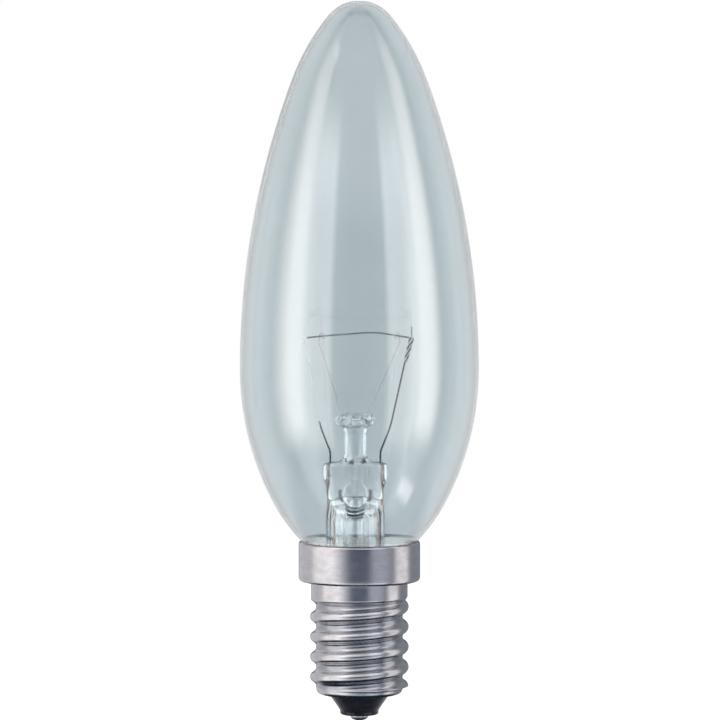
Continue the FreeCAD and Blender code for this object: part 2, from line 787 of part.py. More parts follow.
def make_side_solder():
    """The bead that joins the right tail to the inside of the collar."""
    bead = primitive("Part::Cylinder", "bead", Radius=size("bead_diameter") / 2,
                     Height=size("bead_depth") * 2)
    bead.Placement.Rotation = FreeCAD.Rotation(FreeCAD.Vector(0, 1, 0), 90)
    bead.setExpression("Placement.Base.x", (collar_bore - GAP - size("bead_depth")).text)
    bead.setExpression("Placement.Base.z", (neck_base - size("bead_diameter")).text)
    core = primitive("Part::Cylinder", "collar_core", Radius=collar_bore - GAP,
                     Height=neck_base)
    solder = doc.addObject("Part::MultiCommon", "side_solder")
    solder.Shapes = [bead, core]
    solder.Label = "side_solder"
    return solder


def smooth(share):
    """Eases from 0 to 1 and stays there."""
    share = min(max(share, 0.0), 1.0)
    return share * share * (3 - 2 * share)


def round_axis(radius, angle, height):
    """A point by its radius, its angle round the axis and its height."""
    return FreeCAD.Vector(radius * math.cos(angle), radius * math.sin(angle), height)


def thread_radius(angle, height):
    """Radius of the rolled thread: crest and root are arcs of one radius that meet
    half way up the flank. It rises to the right, and runs out into the collar above
    and into the plain root below."""
    crest = thread_crest.value
    root = thread_root.value
    pitch = size("thread_pitch").value
    depth = crest - root
    lean = 2 * math.atan2(depth, pitch / 2)
    arc = pitch / 4 / math.sin(lean)
    first = (collar_base - size("first_crest")).value
    turns = (height - first) / pitch - angle / (2 * math.pi)
    off = abs(turns - round(turns)) * pitch
    if off < pitch / 4:
        radius = crest - arc + math.sqrt(arc ** 2 - off ** 2)
    else:
        radius = root + arc - math.sqrt(arc ** 2 - (pitch / 2 - off) ** 2)
    top = smooth((collar_base.value - height) / size("runout_top").value)
    low = smooth((height - curl_top.value) / size("runout_bottom").value)
    ledge = size("end_ledge").value
    radius = (collar_outer.value - ledge) * (1 - top) + radius * top
    return (root - ledge) * (1 - low) + radius * low


def make_thread():
    """The rolled thread as one solid round the axis: its side is the smooth closed
    surface through points of thread_radius, with a flat at each end."""
    columns, rows = 20, 40
    low = (curl_top - size("end_overlap")).value
    high = (collar_base + size("end_overlap")).value
    angles = [2 * math.pi * column / columns for column in range(columns)]
    heights = [low + (high - low) * row / rows for row in range(rows + 1)]
    rings = []
    for height in heights:
        ring = Part.BSplineCurve()
        ring.interpolate(Points=[round_axis(thread_radius(angle, height), angle, height)
                                 for angle in angles],
                         PeriodicFlag=True, Parameters=angles + [2 * math.pi])
        rings.append(ring)
    poles = []
    for column in range(rings[0].NbPoles):
        line = Part.BSplineCurve()
        line.interpolate(Points=[ring.getPole(column + 1) for ring in rings], Parameters=heights)
        poles.append(line.getPoles())
    surface = Part.BSplineSurface()
    surface.buildFromPolesMultsKnots(
        poles, rings[0].getMultiplicities(), line.getMultiplicities(),
        rings[0].getKnots(), line.getKnots(), True, False, 3, 3)
    side = surface.toShape()
    flats = []
    for height in (low, high):
        rim = [e for e in side.Edges if e.BoundBox.ZLength < 0.001
               and abs(e.BoundBox.Center.z - height) < 0.001]
        flats.append(Part.Face(Part.Wire(rim)))
    shell = Part.makeShell([side] + flats)
    shell.sewShape()
    solid = Part.makeSolid(shell)
    if solid.Volume < 0:
        solid.reverse()
    thread = doc.addObject("Part::Feature", "rolled_thread")
    thread.Shape = solid
    return thread


def make_cap_shell():
    """The cap: one drawn sheet with its skirt, collar, rolled thread and turned-in lip."""
    sheet_wall = size("sheet")
    curl = size("curl_round")
    turn = size("skirt_round")
    rim = size("rim_round")
    slope_top = lip_height + size("curl_slope")
    blank = new_body("cap_blank")
    revolve(blank, "outside", [
        (ZERO, lip_height), (lip_radius, lip_height),
        (thread_root - curl, slope_top, curl, 1), (thread_root, curl_top),
        (thread_bore, curl_top), (thread_bore, collar_base),
        (collar_outer, collar_base), (collar_outer, skirt_base),
        (skirt_outer - turn, skirt_base, turn, 1), (skirt_outer, skirt_base + turn),
        (skirt_outer, rim_height - rim, rim, 1), (skirt_outer - rim, rim_height),
        (ZERO, rim_height)])
    hollow = new_body("cap_hollow")
    inner_turn = turn - sheet_wall
    inner_curl = curl - sheet_wall
    revolve(hollow, "inside", [
        (ZERO, lip_height - curl), (lip_radius, lip_height - curl),
        (lip_radius, lip_height + sheet_wall),
        (thread_root - curl, slope_top + sheet_wall, inner_curl, 1), (thread_bore, curl_top),
        (thread_bore, collar_base - size("runout_top")), (collar_bore, collar_base),
        (collar_bore, skirt_base + sheet_wall),
        (skirt_bore - inner_turn, skirt_base + sheet_wall, inner_turn, 1),
        (skirt_bore, skirt_base + turn), (skirt_bore, rim_height + curl),
        (ZERO, rim_height + curl)])
    outside = doc.addObject("Part::Fuse", "cap_outside")
    outside.Base = blank
    outside.Tool = make_thread()
    shell = doc.addObject("Part::Cut", "cap_shell")
    shell.Base = outside
    shell.Tool = hollow
    shell.Label = "cap_shell"
    return shell


def make_cap_cement():
    """The cement that holds the glass neck in the skirt, and reaches under its foot."""
    body = new_body("cap_cement")
    floor = skirt_base + size("sheet") + GAP
    outer = skirt_bore - GAP
    turn = size("skirt_round") - size("sheet") - GAP
    top = floor + size("cement_height")
    revolve(body, "cement", [
        (collar_bore + GAP, floor), (outer - turn, floor, turn, 1), (outer, floor + turn),
        (outer, top + size("cement_rise")), (neck_outer + GAP, top),
        (neck_outer + GAP, neck_base - GAP),
        (collar_bore + GAP, neck_base - GAP)])
    return body


def make_insulator():
    """The black glass that fills the foot of the cap and carries the contact."""
    body = new_body("insulator")
    hole = size("wire_hole") / 2
    recess = contact_radius + GAP
    edge = size("insulator_round")
    lip = lip_radius - GAP
    curl_start = thread_root - size("curl_round")
    curl = size("curl_round") - size("sheet") - GAP
    seat = lip_height + size("sheet") + GAP
    ceiling = insulator_base + size("contact_sheet") + GAP
    revolve(body, "moulding", [
        (hole, ceiling), (recess, ceiling), (recess, insulator_base),
        (base_radius - edge, insulator_base, edge, 1), (base_radius, insulator_base + edge),
        (base_radius, insulator_base + size("insulator_rim")), (lip, lip_height), (lip, seat),
        (curl_start, seat + size("curl_slope"), curl, 1), (thread_bore - GAP, curl_top),
        (thread_bore - GAP, insulator_top), (hole, insulator_top)])
    return body


def make_contact():
    """The contact plate, with a short drawn collar up into the wire hole."""
    body = new_body("contact_plate")
    collar = size("wire_hole") / 2 - GAP
    bore = collar - size("contact_sheet")
    top = insulator_base + size("contact_sheet")
    revolve(body, "plate", [
        (bore, insulator_base), (contact_radius, insulator_base), (contact_radius, top), (collar, top),
        (collar, solder_top), (bore, solder_top)])
    return body


def make_contact_solder():
    """The solder that fills the plate's collar and stands proud as a worn dome."""
    body = new_body("contact_solder")
    dome = size("solder_diameter") / 2
    flat = size("solder_flat") / 2
    pin = size("wire_hole") / 2 - size("contact_sheet") - GAP * 2
    drop = size("contact_drop") - GAP
    revolve(body, "dome", [
        (ZERO, ZERO), (flat, ZERO, dome, 1), (dome, drop), (pin, drop),
        (pin, solder_top), (ZERO, solder_top)])
    return body


def largest_rounds(points):
    """For each inner point of a route, the round that uses the agreed share of its
    shorter run."""
    radii = []
    for before, here, after in zip(points, points[1:], points[2:]):
        run = min((before - here).Length, (after - here).Length)
        half_turn = (here - before).getAngle(after - here) / 2
        radii.append(ROUND_SHARE * run / math.tan(half_turn))
    return radii


def wire_feature(name, points, radii, diameter):
    """A round wire along a route in space, set back to the axis of the mount."""
    wire = doc.addObject("Part::Feature", name)
    wire.Shape = sweep_round(route_wire(points, radii), diameter.value / 2)
    wire.Label = name
    wire.setExpression("Placement.Base.x", mount_axis.text)
    return wire


def filament_route():
    """Points and rounds of the filament: from behind the left clamp, back through the
    two hooks in a shallow leaning arch, to behind the right clamp, with its tail up."""
    inset = (size("clamp_width") / 2).value
    beside = ((size("lead_wire") + size("filament_diameter")) / 2 + size("filament_gap")).value
    height = filament_height.value
    left_end = FreeCAD.Vector(inset - size("left_reach").value, beside, height)
    right_end = FreeCAD.Vector(size("right_reach").value - inset, beside, height)
    back = size("hook_back").value
    left_turn = FreeCAD.Vector(-size("hook_left").value, back, height)
    right_turn = FreeCAD.Vector(size("hook_right").value, back, height)
    arch = FreeCAD.Vector(0, size("arch_back").value, size("arch_rise").value)
    lean = FreeCAD.Vector(0, 0, size("arch_lean").value)
    inwards = (right_turn - left_turn) * size("arch_place").value
    points = [left_end, left_turn, left_turn + inwards + arch - lean,
              right_turn - inwards + arch + lean,
              right_turn, right_end, right_end + FreeCAD.Vector(0, 0, size("tail_rise").value)]
    rounds = largest_rounds(points)
    rounds[-1] = size("filament_diameter").value
    return points, rounds


def make_filament():
    """The filament, as the round space that its coil fills."""
    points, rounds = filament_route()
    return wire_feature("filament", points, rounds, size("filament_diameter"))


def make_support(name, side, turn):
    """A molybdenum support: up out of the button, out and back, and once round the
    filament as an open pigtail. turn is the filament's corner that it holds. The
    pigtail's corners are counted in ring radii, outwards and up."""
    points, rounds = filament_route()
    first, centre, last = corner_arc(*points[turn - 1:turn + 2], rounds[turn - 1])
    along = (last - first).normalize()
    up = FreeCAD.Vector(0, 0, 1)
    out = up.cross(along).normalize()
    foot = FreeCAD.Vector((size("support_spacing") / 2).value * side, 0,
                          (button_top - size("support_embed")).value)
    bend = FreeCAD.Vector(foot.x, 0, (button_top + size("support_rise")).value)
    ring = size("hook_round").value
    step = -side * size("hook_pitch").value
    corners = [(1, -2.4), (1, 1), (-1, 1), (-1, -1), (0.8, -1)]
    route = [foot, bend]
    for place, (across, rise) in enumerate(corners):
        route.append(centre + out * (ring * across) + up * (ring * rise) + along * (step * place))
    bends = largest_rounds(route)
    bends[0] = size("lead_bend").value / 2
    bends[1] = ring * 2
    return wire_feature(name + "_support_wire", route, bends, size("support_wire"))


def make_all():
    """Every separate piece of the lamp, foot to tip."""
    pieces = [
        make_contact_solder(), make_contact(), make_insulator(), make_cap_shell(),
        make_cap_cement(), make_envelope(), make_stem(), make_exhaust(), make_button_rod()]
    for name, side, reach in (
            ("left", -1, size("left_reach")), ("right", 1, size("right_reach"))):
        seal_place = mount_axis + size("lead_spacing") / 2 * side
        pieces.append(make_inner_lead(name, side, reach))
        pieces.append(straight_wire(
            name + "_seal_wire", seal_place, seal_foot, press_top, size("seal_wire")))
    pieces += make_outer_leads()
    pieces.append(make_side_solder())
    pieces.append(make_support("left", -1, 1))
    pieces.append(make_support("right", 1, 4))
    pieces.append(make_filament())
    return pieces


def check_and_write(pieces):
    """Stops on anything that failed; otherwise writes one file for each piece."""
    doc.recompute()
    for item in doc.Objects:
        bad = [word for word in item.State if word in ("Invalid", "Error")]
        if bad:
            raise RuntimeError("%s is %s" % (item.Label, bad))
    for piece in pieces:
        shape = piece.Shape
        if shape.isNull() or not shape.isValid() or shape.Volume <= 0 or len(shape.Solids) != 1:
            raise RuntimeError("%s is not one sound solid" % piece.Label)
    os.makedirs("parts", exist_ok=True)
    for piece in pieces:
        piece.Shape.exportStep(os.path.join("parts", piece.Label + ".step"))
        print("%-18s %10.3f mm3" % (piece.Label, piece.Shape.Volume))


check_and_write(make_all())
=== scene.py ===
import math

import bpy
import numpy as np
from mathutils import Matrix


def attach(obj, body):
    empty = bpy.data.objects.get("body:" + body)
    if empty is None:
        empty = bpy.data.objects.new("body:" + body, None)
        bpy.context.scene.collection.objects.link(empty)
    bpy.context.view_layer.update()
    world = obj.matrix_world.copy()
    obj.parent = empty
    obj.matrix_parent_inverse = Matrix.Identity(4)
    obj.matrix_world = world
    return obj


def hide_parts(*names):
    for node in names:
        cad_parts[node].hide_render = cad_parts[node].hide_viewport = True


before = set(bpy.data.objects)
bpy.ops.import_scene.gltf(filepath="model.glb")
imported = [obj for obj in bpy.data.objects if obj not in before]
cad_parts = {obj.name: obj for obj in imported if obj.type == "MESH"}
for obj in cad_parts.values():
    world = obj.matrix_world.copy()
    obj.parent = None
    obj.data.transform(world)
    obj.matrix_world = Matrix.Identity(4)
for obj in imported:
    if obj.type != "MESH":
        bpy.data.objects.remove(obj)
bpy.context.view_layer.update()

# A clear candle bulb, standing on its cap. Lengths in the dictionaries are in
# millimetres; the meshes are in metres, in the frame of the solids.

mm = 0.001


# shapes as whole arrays

def unit(vectors):
    # each vector divided by its own length
    return vectors / np.linalg.norm(vectors, axis=-1, keepdims=True)


def ease(share):
    # 3 s^2 - 2 s^3, held at 0 below 0 and at 1 above 1
    share = np.clip(share, 0.0, 1.0)
    return share * share * (3 - 2 * share)


def bell(distance, width):
    # exp(-(d / w)^2), a soft hump
    return np.exp(-(distance / width) ** 2)


def angleSteps(count):
    # count equal steps round the axis, the first half a step past +X
    return 2 * math.pi * (np.arange(count) + 0.5) / count


def roundedRun(corners, step=0.3, arcSteps=6):
    # A line through corners (r, z, round): each corner is cut back by its round and
    # bridged by the curve (1-t)^2 a + 2t(1-t) b + t^2 c, the straights are divided by step.
    places = np.array([corner[:2] for corner in corners], float)
    rounds = [corner[2] if len(corner) > 2 else 0.0 for corner in corners]
    runs = [places[:1]]
    share = np.linspace(0, 1, arcSteps + 1)[:, None]
    for index in range(1, len(places)):
        here = places[index]
        if 0 < rounds[index] and index + 1 < len(places):
            first = here + unit(places[index - 1] - here) * rounds[index]
            last = here + unit(places[index + 1] - here) * rounds[index]
            bend = (1 - share) ** 2 * first + 2 * share * (1 - share) * here + share ** 2 * last
        else:
            bend = here[None]
        start = runs[-1][-1]
        count = max(int(np.linalg.norm(bend[0] - start) / step), 1)
        straight = start + (bend[0] - start) * (np.arange(1, count)[:, None] / count)
        runs += [straight, bend]
    return np.concatenate(runs)


def turned(profile, angles, offset=0.0):
    # (r cos a + offset, r sin a, z) for every row of the profile and every angle
    radius, height = profile[:, 0, None], profile[:, 1, None]
    return np.stack([radius * np.cos(angles) + offset, radius * np.sin(angles),
                     height + 0 * angles], axis=-1)


def smoothRoute(corners, count):
    # The quadratic B-spline with the corners as its control points, ends included:
    # each span runs from one leg's middle to the next with the corner pulling it.
    corners = np.array(corners, float)
    middles = (corners[:-1] + corners[1:]) / 2
    starts = np.concatenate([corners[:1], middles[1:-1]])
    ends = np.concatenate([middles[1:-1], corners[-1:]])
    share = np.linspace(0, 1, count)[:, None, None]
    spans = ((1 - share) ** 2 * starts + 2 * share * (1 - share) * corners[1:-1]
             + share ** 2 * ends)
    line = spans.transpose(1, 0, 2).reshape(-1, 3)
    keep = np.concatenate([[True], np.linalg.norm(np.diff(line, axis=0), axis=1) > 1e-9])
    return line[keep]


def evenly(line, count):
    # the line again as count points at equal distances along it
    reach = np.concatenate([[0], np.cumsum(np.linalg.norm(np.diff(line, axis=0), axis=1))])
    places = np.linspace(0, reach[-1], count)
    return np.stack([np.interp(places, reach, line[:, axis]) for axis in range(3)], axis=1)


def carried(line, radius, reference, sides):
    # A ring carried along the line: line + radius (cos a * side + sin a * up), where side
    # is square to the line and to the reference direction, and up is square to both. The
    # radius is one number, or one for each row and side.
    along = unit(np.gradient(line, axis=0))
    side = unit(np.cross(along, reference))
    up = np.cross(side, along)
    angles = angleSteps(sides)[None, :, None]
    radius = np.broadcast_to(radius, (len(line), sides))[..., None]
    return line[:, None] + radius * (np.cos(angles) * side[:, None] + np.sin(angles) * up[:, None])


def gridMesh(name, points, ends):
    # Quads between neighbouring rows and columns; columns close round. ends is "loop"
    # where the last row meets the first, "points" where each end closes to its middle.
    rows, columns = points.shape[:2]
    verts = points.reshape(-1, 3)
    index = np.arange(rows * columns).reshape(rows, columns)
    upper = np.roll(index, -1, axis=0) if ends == "loop" else index[1:]
    lower = index if ends == "loop" else index[:-1]
    quads = np.stack([lower, np.roll(lower, -1, 1), np.roll(upper, -1, 1), upper], -1)
    loops = [quads.reshape(-1, 4)]
    if ends == "points":
        verts = np.concatenate([verts, points[:1].mean(1), points[-1:].mean(1)])
        first, last = index[0], index[-1]
        low, high = np.full(columns, rows * columns), np.full(columns, rows * columns + 1)
        loops.append(np.stack([np.roll(first, -1), first, low], -1))
        loops.append(np.stack([last, np.roll(last, -1), high], -1))
    corner = verts[loops[0]]
    volume = np.einsum("ij,ij->", corner[:, 0], np.cross(corner[:, 1], corner[:, 2])
                       + np.cross(corner[:, 2], corner[:, 3]))
    if volume < 0:
        loops = [faces[:, ::-1] for faces in loops]
    mesh = bpy.data.meshes.new(name)
    mesh.vertices.add(len(verts))
    mesh.vertices.foreach_set("co", (verts * mm).astype(np.float32).ravel())
    sizes = np.concatenate([np.full(len(faces), faces.shape[1]) for faces in loops])
    mesh.loops.add(int(sizes.sum()))
    mesh.loops.foreach_set("vertex_index", np.concatenate([f.ravel() for f in loops]).astype(np.int32))
    mesh.polygons.add(len(sizes))
    mesh.polygons.foreach_set("loop_start", (np.cumsum(sizes) - sizes).astype(np.int32))
    mesh.polygons.foreach_set("use_smooth", np.ones(len(sizes), bool))
    mesh.update(calc_edges=True)
    mesh.validate()
    return mesh


def inScene(name, data):
    # a new object of the scene with this mesh, lamp or camera
    piece = bpy.data.objects.new(name, data)
    bpy.context.scene.collection.objects.link(piece)
    return piece


def addPiece(name, points, ends, material, nodes):
    # a grid of points as a piece that stands still and stands in for the named nodes
    piece = inScene(name, gridMesh(name, points, ends))
    piece.data.materials.append(material)
    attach(piece, "root")
    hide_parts(*nodes)
    return piece


def paint(piece, name, values):
    # one number for each vertex, which the finish reads; the two end points take 1
    layer = piece.data.attributes.new(name, "FLOAT", "POINT")
    spare = len(piece.data.vertices) - values.size
    layer.data.foreach_set("value", np.append(values.ravel(), [1.0] * spare).astype(np.float32))


# finishes as node trees

class Finish:
    # one material: a Principled shader and the nodes that feed it
    def __init__(self, name, **sockets):
        self.material = bpy.data.materials.new(name)
        self.material.use_nodes = True
        self.nodes = self.material.node_tree.nodes
        self.links = self.material.node_tree.links
        self.shader = self.nodes["Principled BSDF"]
        for key, value in sockets.items():
            self.shader.inputs[key.replace("_", " ")].default_value = value

    def add(self, kind, **values):
        node = self.nodes.new(kind)
        for key, value in values.items():
            setattr(node, key, value)
        return node

    def join(self, source, target):
        self.links.new(source, target)

    def noise(self, size, stretch=(1, 1, 1), detail=3.0, rough=0.5):
        # noise whose grains are size millimetres, stretched by the given factors
        place = self.add("ShaderNodeTexCoord").outputs["Object"]
        mapping = self.add("ShaderNodeMapping")
        mapping.inputs["Scale"].default_value = [1 / (size * mm * s) for s in stretch]
        self.join(place, mapping.inputs["Vector"])
        noise = self.add("ShaderNodeTexNoise")
        for key, value in (("Scale", 1.0), ("Detail", detail), ("Roughness", rough)):
            noise.inputs[key].default_value = value
        self.join(mapping.outputs["Vector"], noise.inputs["Vector"])
        return noise.outputs["Fac"]

    def spread(self, source, low, high, fromLow=0.3, fromHigh=0.7):
        # the source's middle range laid over low to high
        node = self.add("ShaderNodeMapRange")
        for key, value in (("From Min", fromLow), ("From Max", fromHigh),
                           ("To Min", low), ("To Max", high)):
            node.inputs[key].default_value = value
        self.join(source, node.inputs["Value"])
        return node.outputs["Result"]

    def math(self, kind, first, second):
        node = self.add("ShaderNodeMath", operation=kind)
        for socket, value in zip(node.inputs, (first, second)):
            if isinstance(value, (int, float)):
                socket.default_value = value
            else:
                self.join(value, socket)
        return node.outputs["Value"]

    def colours(self, source, stops):
        ramp = self.add("ShaderNodeValToRGB")
        elements = ramp.color_ramp.elements
        while len(elements) < len(stops):
            elements.new(0.5)
        for element, (place, colour) in zip(elements, stops):
            element.position = place
            element.color = (*colour, 1)
        self.join(source, ramp.inputs["Fac"])
        return ramp.outputs["Color"]

    def laidOver(self, share, under, source):
        # the fixed colour under where share is 0, the source where it is 1
        mix = self.add("ShaderNodeMixRGB")
        mix.inputs["Color1"].default_value = (*under, 1)
        self.join(share, mix.inputs["Fac"])
        self.join(source, mix.inputs["Color2"])
        return mix.outputs["Color"]

    def radius(self):
        # distance from the axis, in millimetres
        place = self.add("ShaderNodeTexCoord").outputs["Object"]
        flat = self.add("ShaderNodeVectorMath", operation="MULTIPLY")
        flat.inputs[1].default_value = (1000, 1000, 0)
        self.join(place, flat.inputs[0])
        length = self.add("ShaderNodeVectorMath", operation="LENGTH")
        self.join(flat.outputs["Vector"], length.inputs[0])
        return length.outputs["Value"]

    def height(self):
        # height over the contact, in millimetres
        place = self.add("ShaderNodeTexCoord").outputs["Object"]
        split = self.add("ShaderNodeSeparateXYZ")
        self.join(place, split.inputs["Vector"])
        return self.math("MULTIPLY", split.outputs["Z"], 1000.0)

    def feed(self, socket, source):
        self.join(source, self.shader.inputs[socket])

    def bump(self, source, depth, strength=1.0):
        node = self.add("ShaderNodeBump")
        node.inputs["Distance"].default_value = depth * mm
        node.inputs["Strength"].default_value = strength
        self.join(source, node.inputs["Height"])
        self.feed("Normal", node.outputs["Normal"])

    def addUp(self, first, second):
        # the surface as the sum of two shaders
        both = self.add("ShaderNodeAddShader")
        self.join(first.outputs[0], both.inputs[0])
        self.join(second.outputs[0], both.inputs[1])
        self.join(both.outputs[0], self.nodes["Material Output"].inputs["Surface"])


clearGlassLook = dict(tint=(0.785, 0.842, 0.862), cloud=1.02)
# in the stem glass's look, the third colour is painted shade: the dark tint laid where the shade
# attribute is 0
stemGlassLook = dict(tint=(0.97, 0.985, 0.985), drawn=(0.78, 0.84, 0.86),
                     hollow=(0.001, 0.006, 0.008), streak=0.02, sheen=0.26)
# in the cap metal's look, groove is painted shade: the grey laid in the thread's grooves
capMetalLook = dict(bright=(0.6, 0.59, 0.6), dull=(0.46, 0.455, 0.47), rough=(0.16, 0.28),
                    groove=(0.38, 0.39, 0.42), grooveRadius=6.05, crestRadius=6.3, threadFoot=4.6,
                    footFade=0.4)


def makeClearGlass():
    # blown glass, a little uneven in tint and in surface, with a strong gloss
    finish = Finish("clearGlass", Transmission_Weight=1.0, Roughness=0.0, IOR=1.52,
                    Coat_Weight=1.0, Coat_Roughness=0.0, Coat_IOR=1.8)
    cloud = finish.noise(9.0, (1, 1, 2.2))
    tint = clearGlassLook["tint"]
    paler = tuple(part * clearGlassLook["cloud"] for part in tint)
    finish.feed("Base Color", finish.colours(cloud, [(0.3, tint), (0.7, paler)]))
    finish.bump(finish.noise(9.0, (1, 1, 3)), 0.0015, 0.2)
    return finish.material


def makeStemGlass():
    # clear glass with drawn streaks; where the mesh's shade attribute falls, painted shade: a dark tint,
    # with the gloss and the coat taken off
    look = stemGlassLook
    finish = Finish("stemGlass", Transmission_Weight=1.0, IOR=1.51, Coat_IOR=1.5,
                    Coat_Roughness=look["sheen"])
    streak = finish.noise(0.45, (1, 1, 26))
    clear = finish.colours(streak, [(0.36, look["drawn"]), (0.5, look["tint"])])
    shade = finish.add("ShaderNodeAttribute", attribute_name="shade")
    finish.feed("Base Color", finish.laidOver(shade.outputs["Fac"], look["hollow"], clear))
    finish.feed("Specular Tint", shade.outputs["Color"])
    finish.feed("Coat Weight", shade.outputs["Fac"])
    finish.feed("Roughness", finish.spread(finish.noise(0.8), 0.0, 0.02, 0.45, 0.8))
    finish.bump(streak, look["streak"], 0.6)
    return finish.material


def makeCapMetal():
    # bright sheet, drawn round in faint rings and worn in patches
    look = capMetalLook
    finish = Finish("capMetal", Metallic=1.0)
    rings = finish.noise(0.05, (120, 120, 1), detail=2)
    wear = finish.noise(1.1, (1.6, 1.6, 1), detail=5, rough=0.6)
    tone = finish.math("ADD", finish.math("MULTIPLY", rings, 0.35), finish.math("MULTIPLY", wear, 0.65))
    # painted shade: the grooves of the thread are painted a darker, bluer grey, the curl under them isn't
    outOfGroove = finish.spread(finish.radius(), 0.0, 1.0, look["grooveRadius"], look["crestRadius"])
    threadFoot = look["threadFoot"]
    underThread = finish.spread(finish.height(), 1.0, 0.0, threadFoot, threadFoot + look["footFade"])
    unshaded = finish.math("MAXIMUM", outOfGroove, underThread)
    worn = finish.colours(tone, [(0.3, look["dull"]), (0.6, look["bright"])])
    finish.feed("Base Color", finish.laidOver(unshaded, look["groove"], worn))
    finish.feed("Roughness", finish.spread(tone, look["rough"][1], look["rough"][0], 0.35, 0.65))
    finish.bump(tone, 0.006, 0.6)
    return finish.material


def makeBlackGlass():
    # moulded glass, with the swirl of its pour
    finish = Finish("blackGlass", IOR=1.52)
    swirl = finish.noise(1.3, (1, 1, 0.5), detail=4)
    finish.feed("Base Color", finish.colours(swirl, [
        (0.3, (0.003, 0.003, 0.006)), (0.7, (0.009, 0.009, 0.014))]))
    finish.feed("Roughness", finish.spread(swirl, 0.1, 0.28))
    finish.bump(swirl, 0.02, 0.6)
    return finish.material


def makeMetal(name, dull, bright, rough, grain, depth, stretch=(1, 1, 1), metallic=1.0):
    # a plain metal, mottled between two colours, rougher where it is dull
    finish = Finish(name, Metallic=metallic)
    mottle = finish.noise(grain, stretch, detail=4)
    finish.feed("Base Color", finish.colours(mottle, [(0.35, dull), (0.65, bright)]))
    finish.feed("Roughness", finish.spread(mottle, rough[1], rough[0]))
    finish.bump(mottle, depth, 0.7)
    return finish.material


def makeLeadNickel():
    # nickel that is bright where the mesh's attribute says so, partly bare metal and partly painted
    # light, and dark elsewhere, partly oxide and partly painted shade
    finish = Finish("leadNickel")
    mottle = finish.noise(0.3, (1, 1, 1.6), detail=4)
    bareAndLit = finish.add("ShaderNodeAttribute", attribute_name="bareAndLit")
    tone = finish.math("ADD", finish.math("MULTIPLY", bareAndLit.outputs["Fac"], 0.8),
                       finish.math("MULTIPLY", mottle, 0.25))
    finish.feed("Base Color", finish.colours(tone, [
        (0.15, (0.02, 0.025, 0.03)), (0.45, (0.3, 0.3, 0.32)), (0.85, (0.9, 0.9, 0.9))]))
    finish.feed("Metallic", finish.spread(bareAndLit.outputs["Fac"], 1.0, 0.3, 0.4, 0.8))
    finish.feed("Roughness", finish.spread(mottle, 0.42, 0.25))
    finish.bump(mottle, 0.02, 0.6)
    return finish.material


clearGlass = makeClearGlass()
stemGlass = makeStemGlass()
capMetal = makeCapMetal()
blackGlass = makeBlackGlass()
solder = makeMetal("solder", (0.4, 0.4, 0.42), (0.68, 0.68, 0.7), (0.28, 0.5), 0.5, 0.04)
contactBrass = makeMetal("contactBrass", (0.5, 0.42, 0.27), (0.74, 0.64, 0.42), (0.25, 0.42), 0.6, 0.01)
leadNickel = makeLeadNickel()
sealCopper = makeMetal("sealCopper", (0.2, 0.17, 0.16), (0.5, 0.42, 0.4), (0.3, 0.5), 0.5, 0.01)
tailCopper = makeMetal("tailCopper", (0.35, 0.2, 0.13), (0.7, 0.45, 0.32), (0.25, 0.45), 0.5, 0.01)
supportMetal = makeMetal("supportMetal", (0.6, 0.6, 0.62), (0.85, 0.85, 0.85), (0.25, 0.45), 0.3, 0.01,
                         metallic=0.5)
tungsten = makeMetal("tungsten", (0.1, 0.1, 0.11), (0.45, 0.45, 0.46), (0.35, 0.55), 0.25, 0.004)
cement = makeMetal("cement", (0.76, 0.71, 0.68), (0.92, 0.88, 0.85), (0.8, 0.95), 0.6, 0.06, metallic=0.0)
print("finishes made")


# the blown glass

glass = dict(height=75.25, diameter=33.3, bellyHeight=24.1, wall=0.6, tipRadius=5.55,
             shoulderRadius=31.0, sideRadius=115.0, bellyRadius=40.0, lowerRadius=21.7,
             neckRadius=2.6, neckOuter=6.9, neckBase=20.25, rim=25.18, entry=8.14,
             inset=0.012, ripple=0.05, rippleFoot=26.0, rippleFade=12.0, sideStep=0.9, columns=400)


def circlesMeet(a, radiusA, b, radiusB):
    # the point on the left of the way from a to b that lies at both radii
    way = b - a
    distance = np.linalg.norm(way)
    along = (radiusA ** 2 - radiusB ** 2 + distance ** 2) / (2 * distance)
    across = math.sqrt(radiusA ** 2 - along ** 2)
    way = way / distance
    return a + way * along + np.array([-way[1], way[0]]) * across


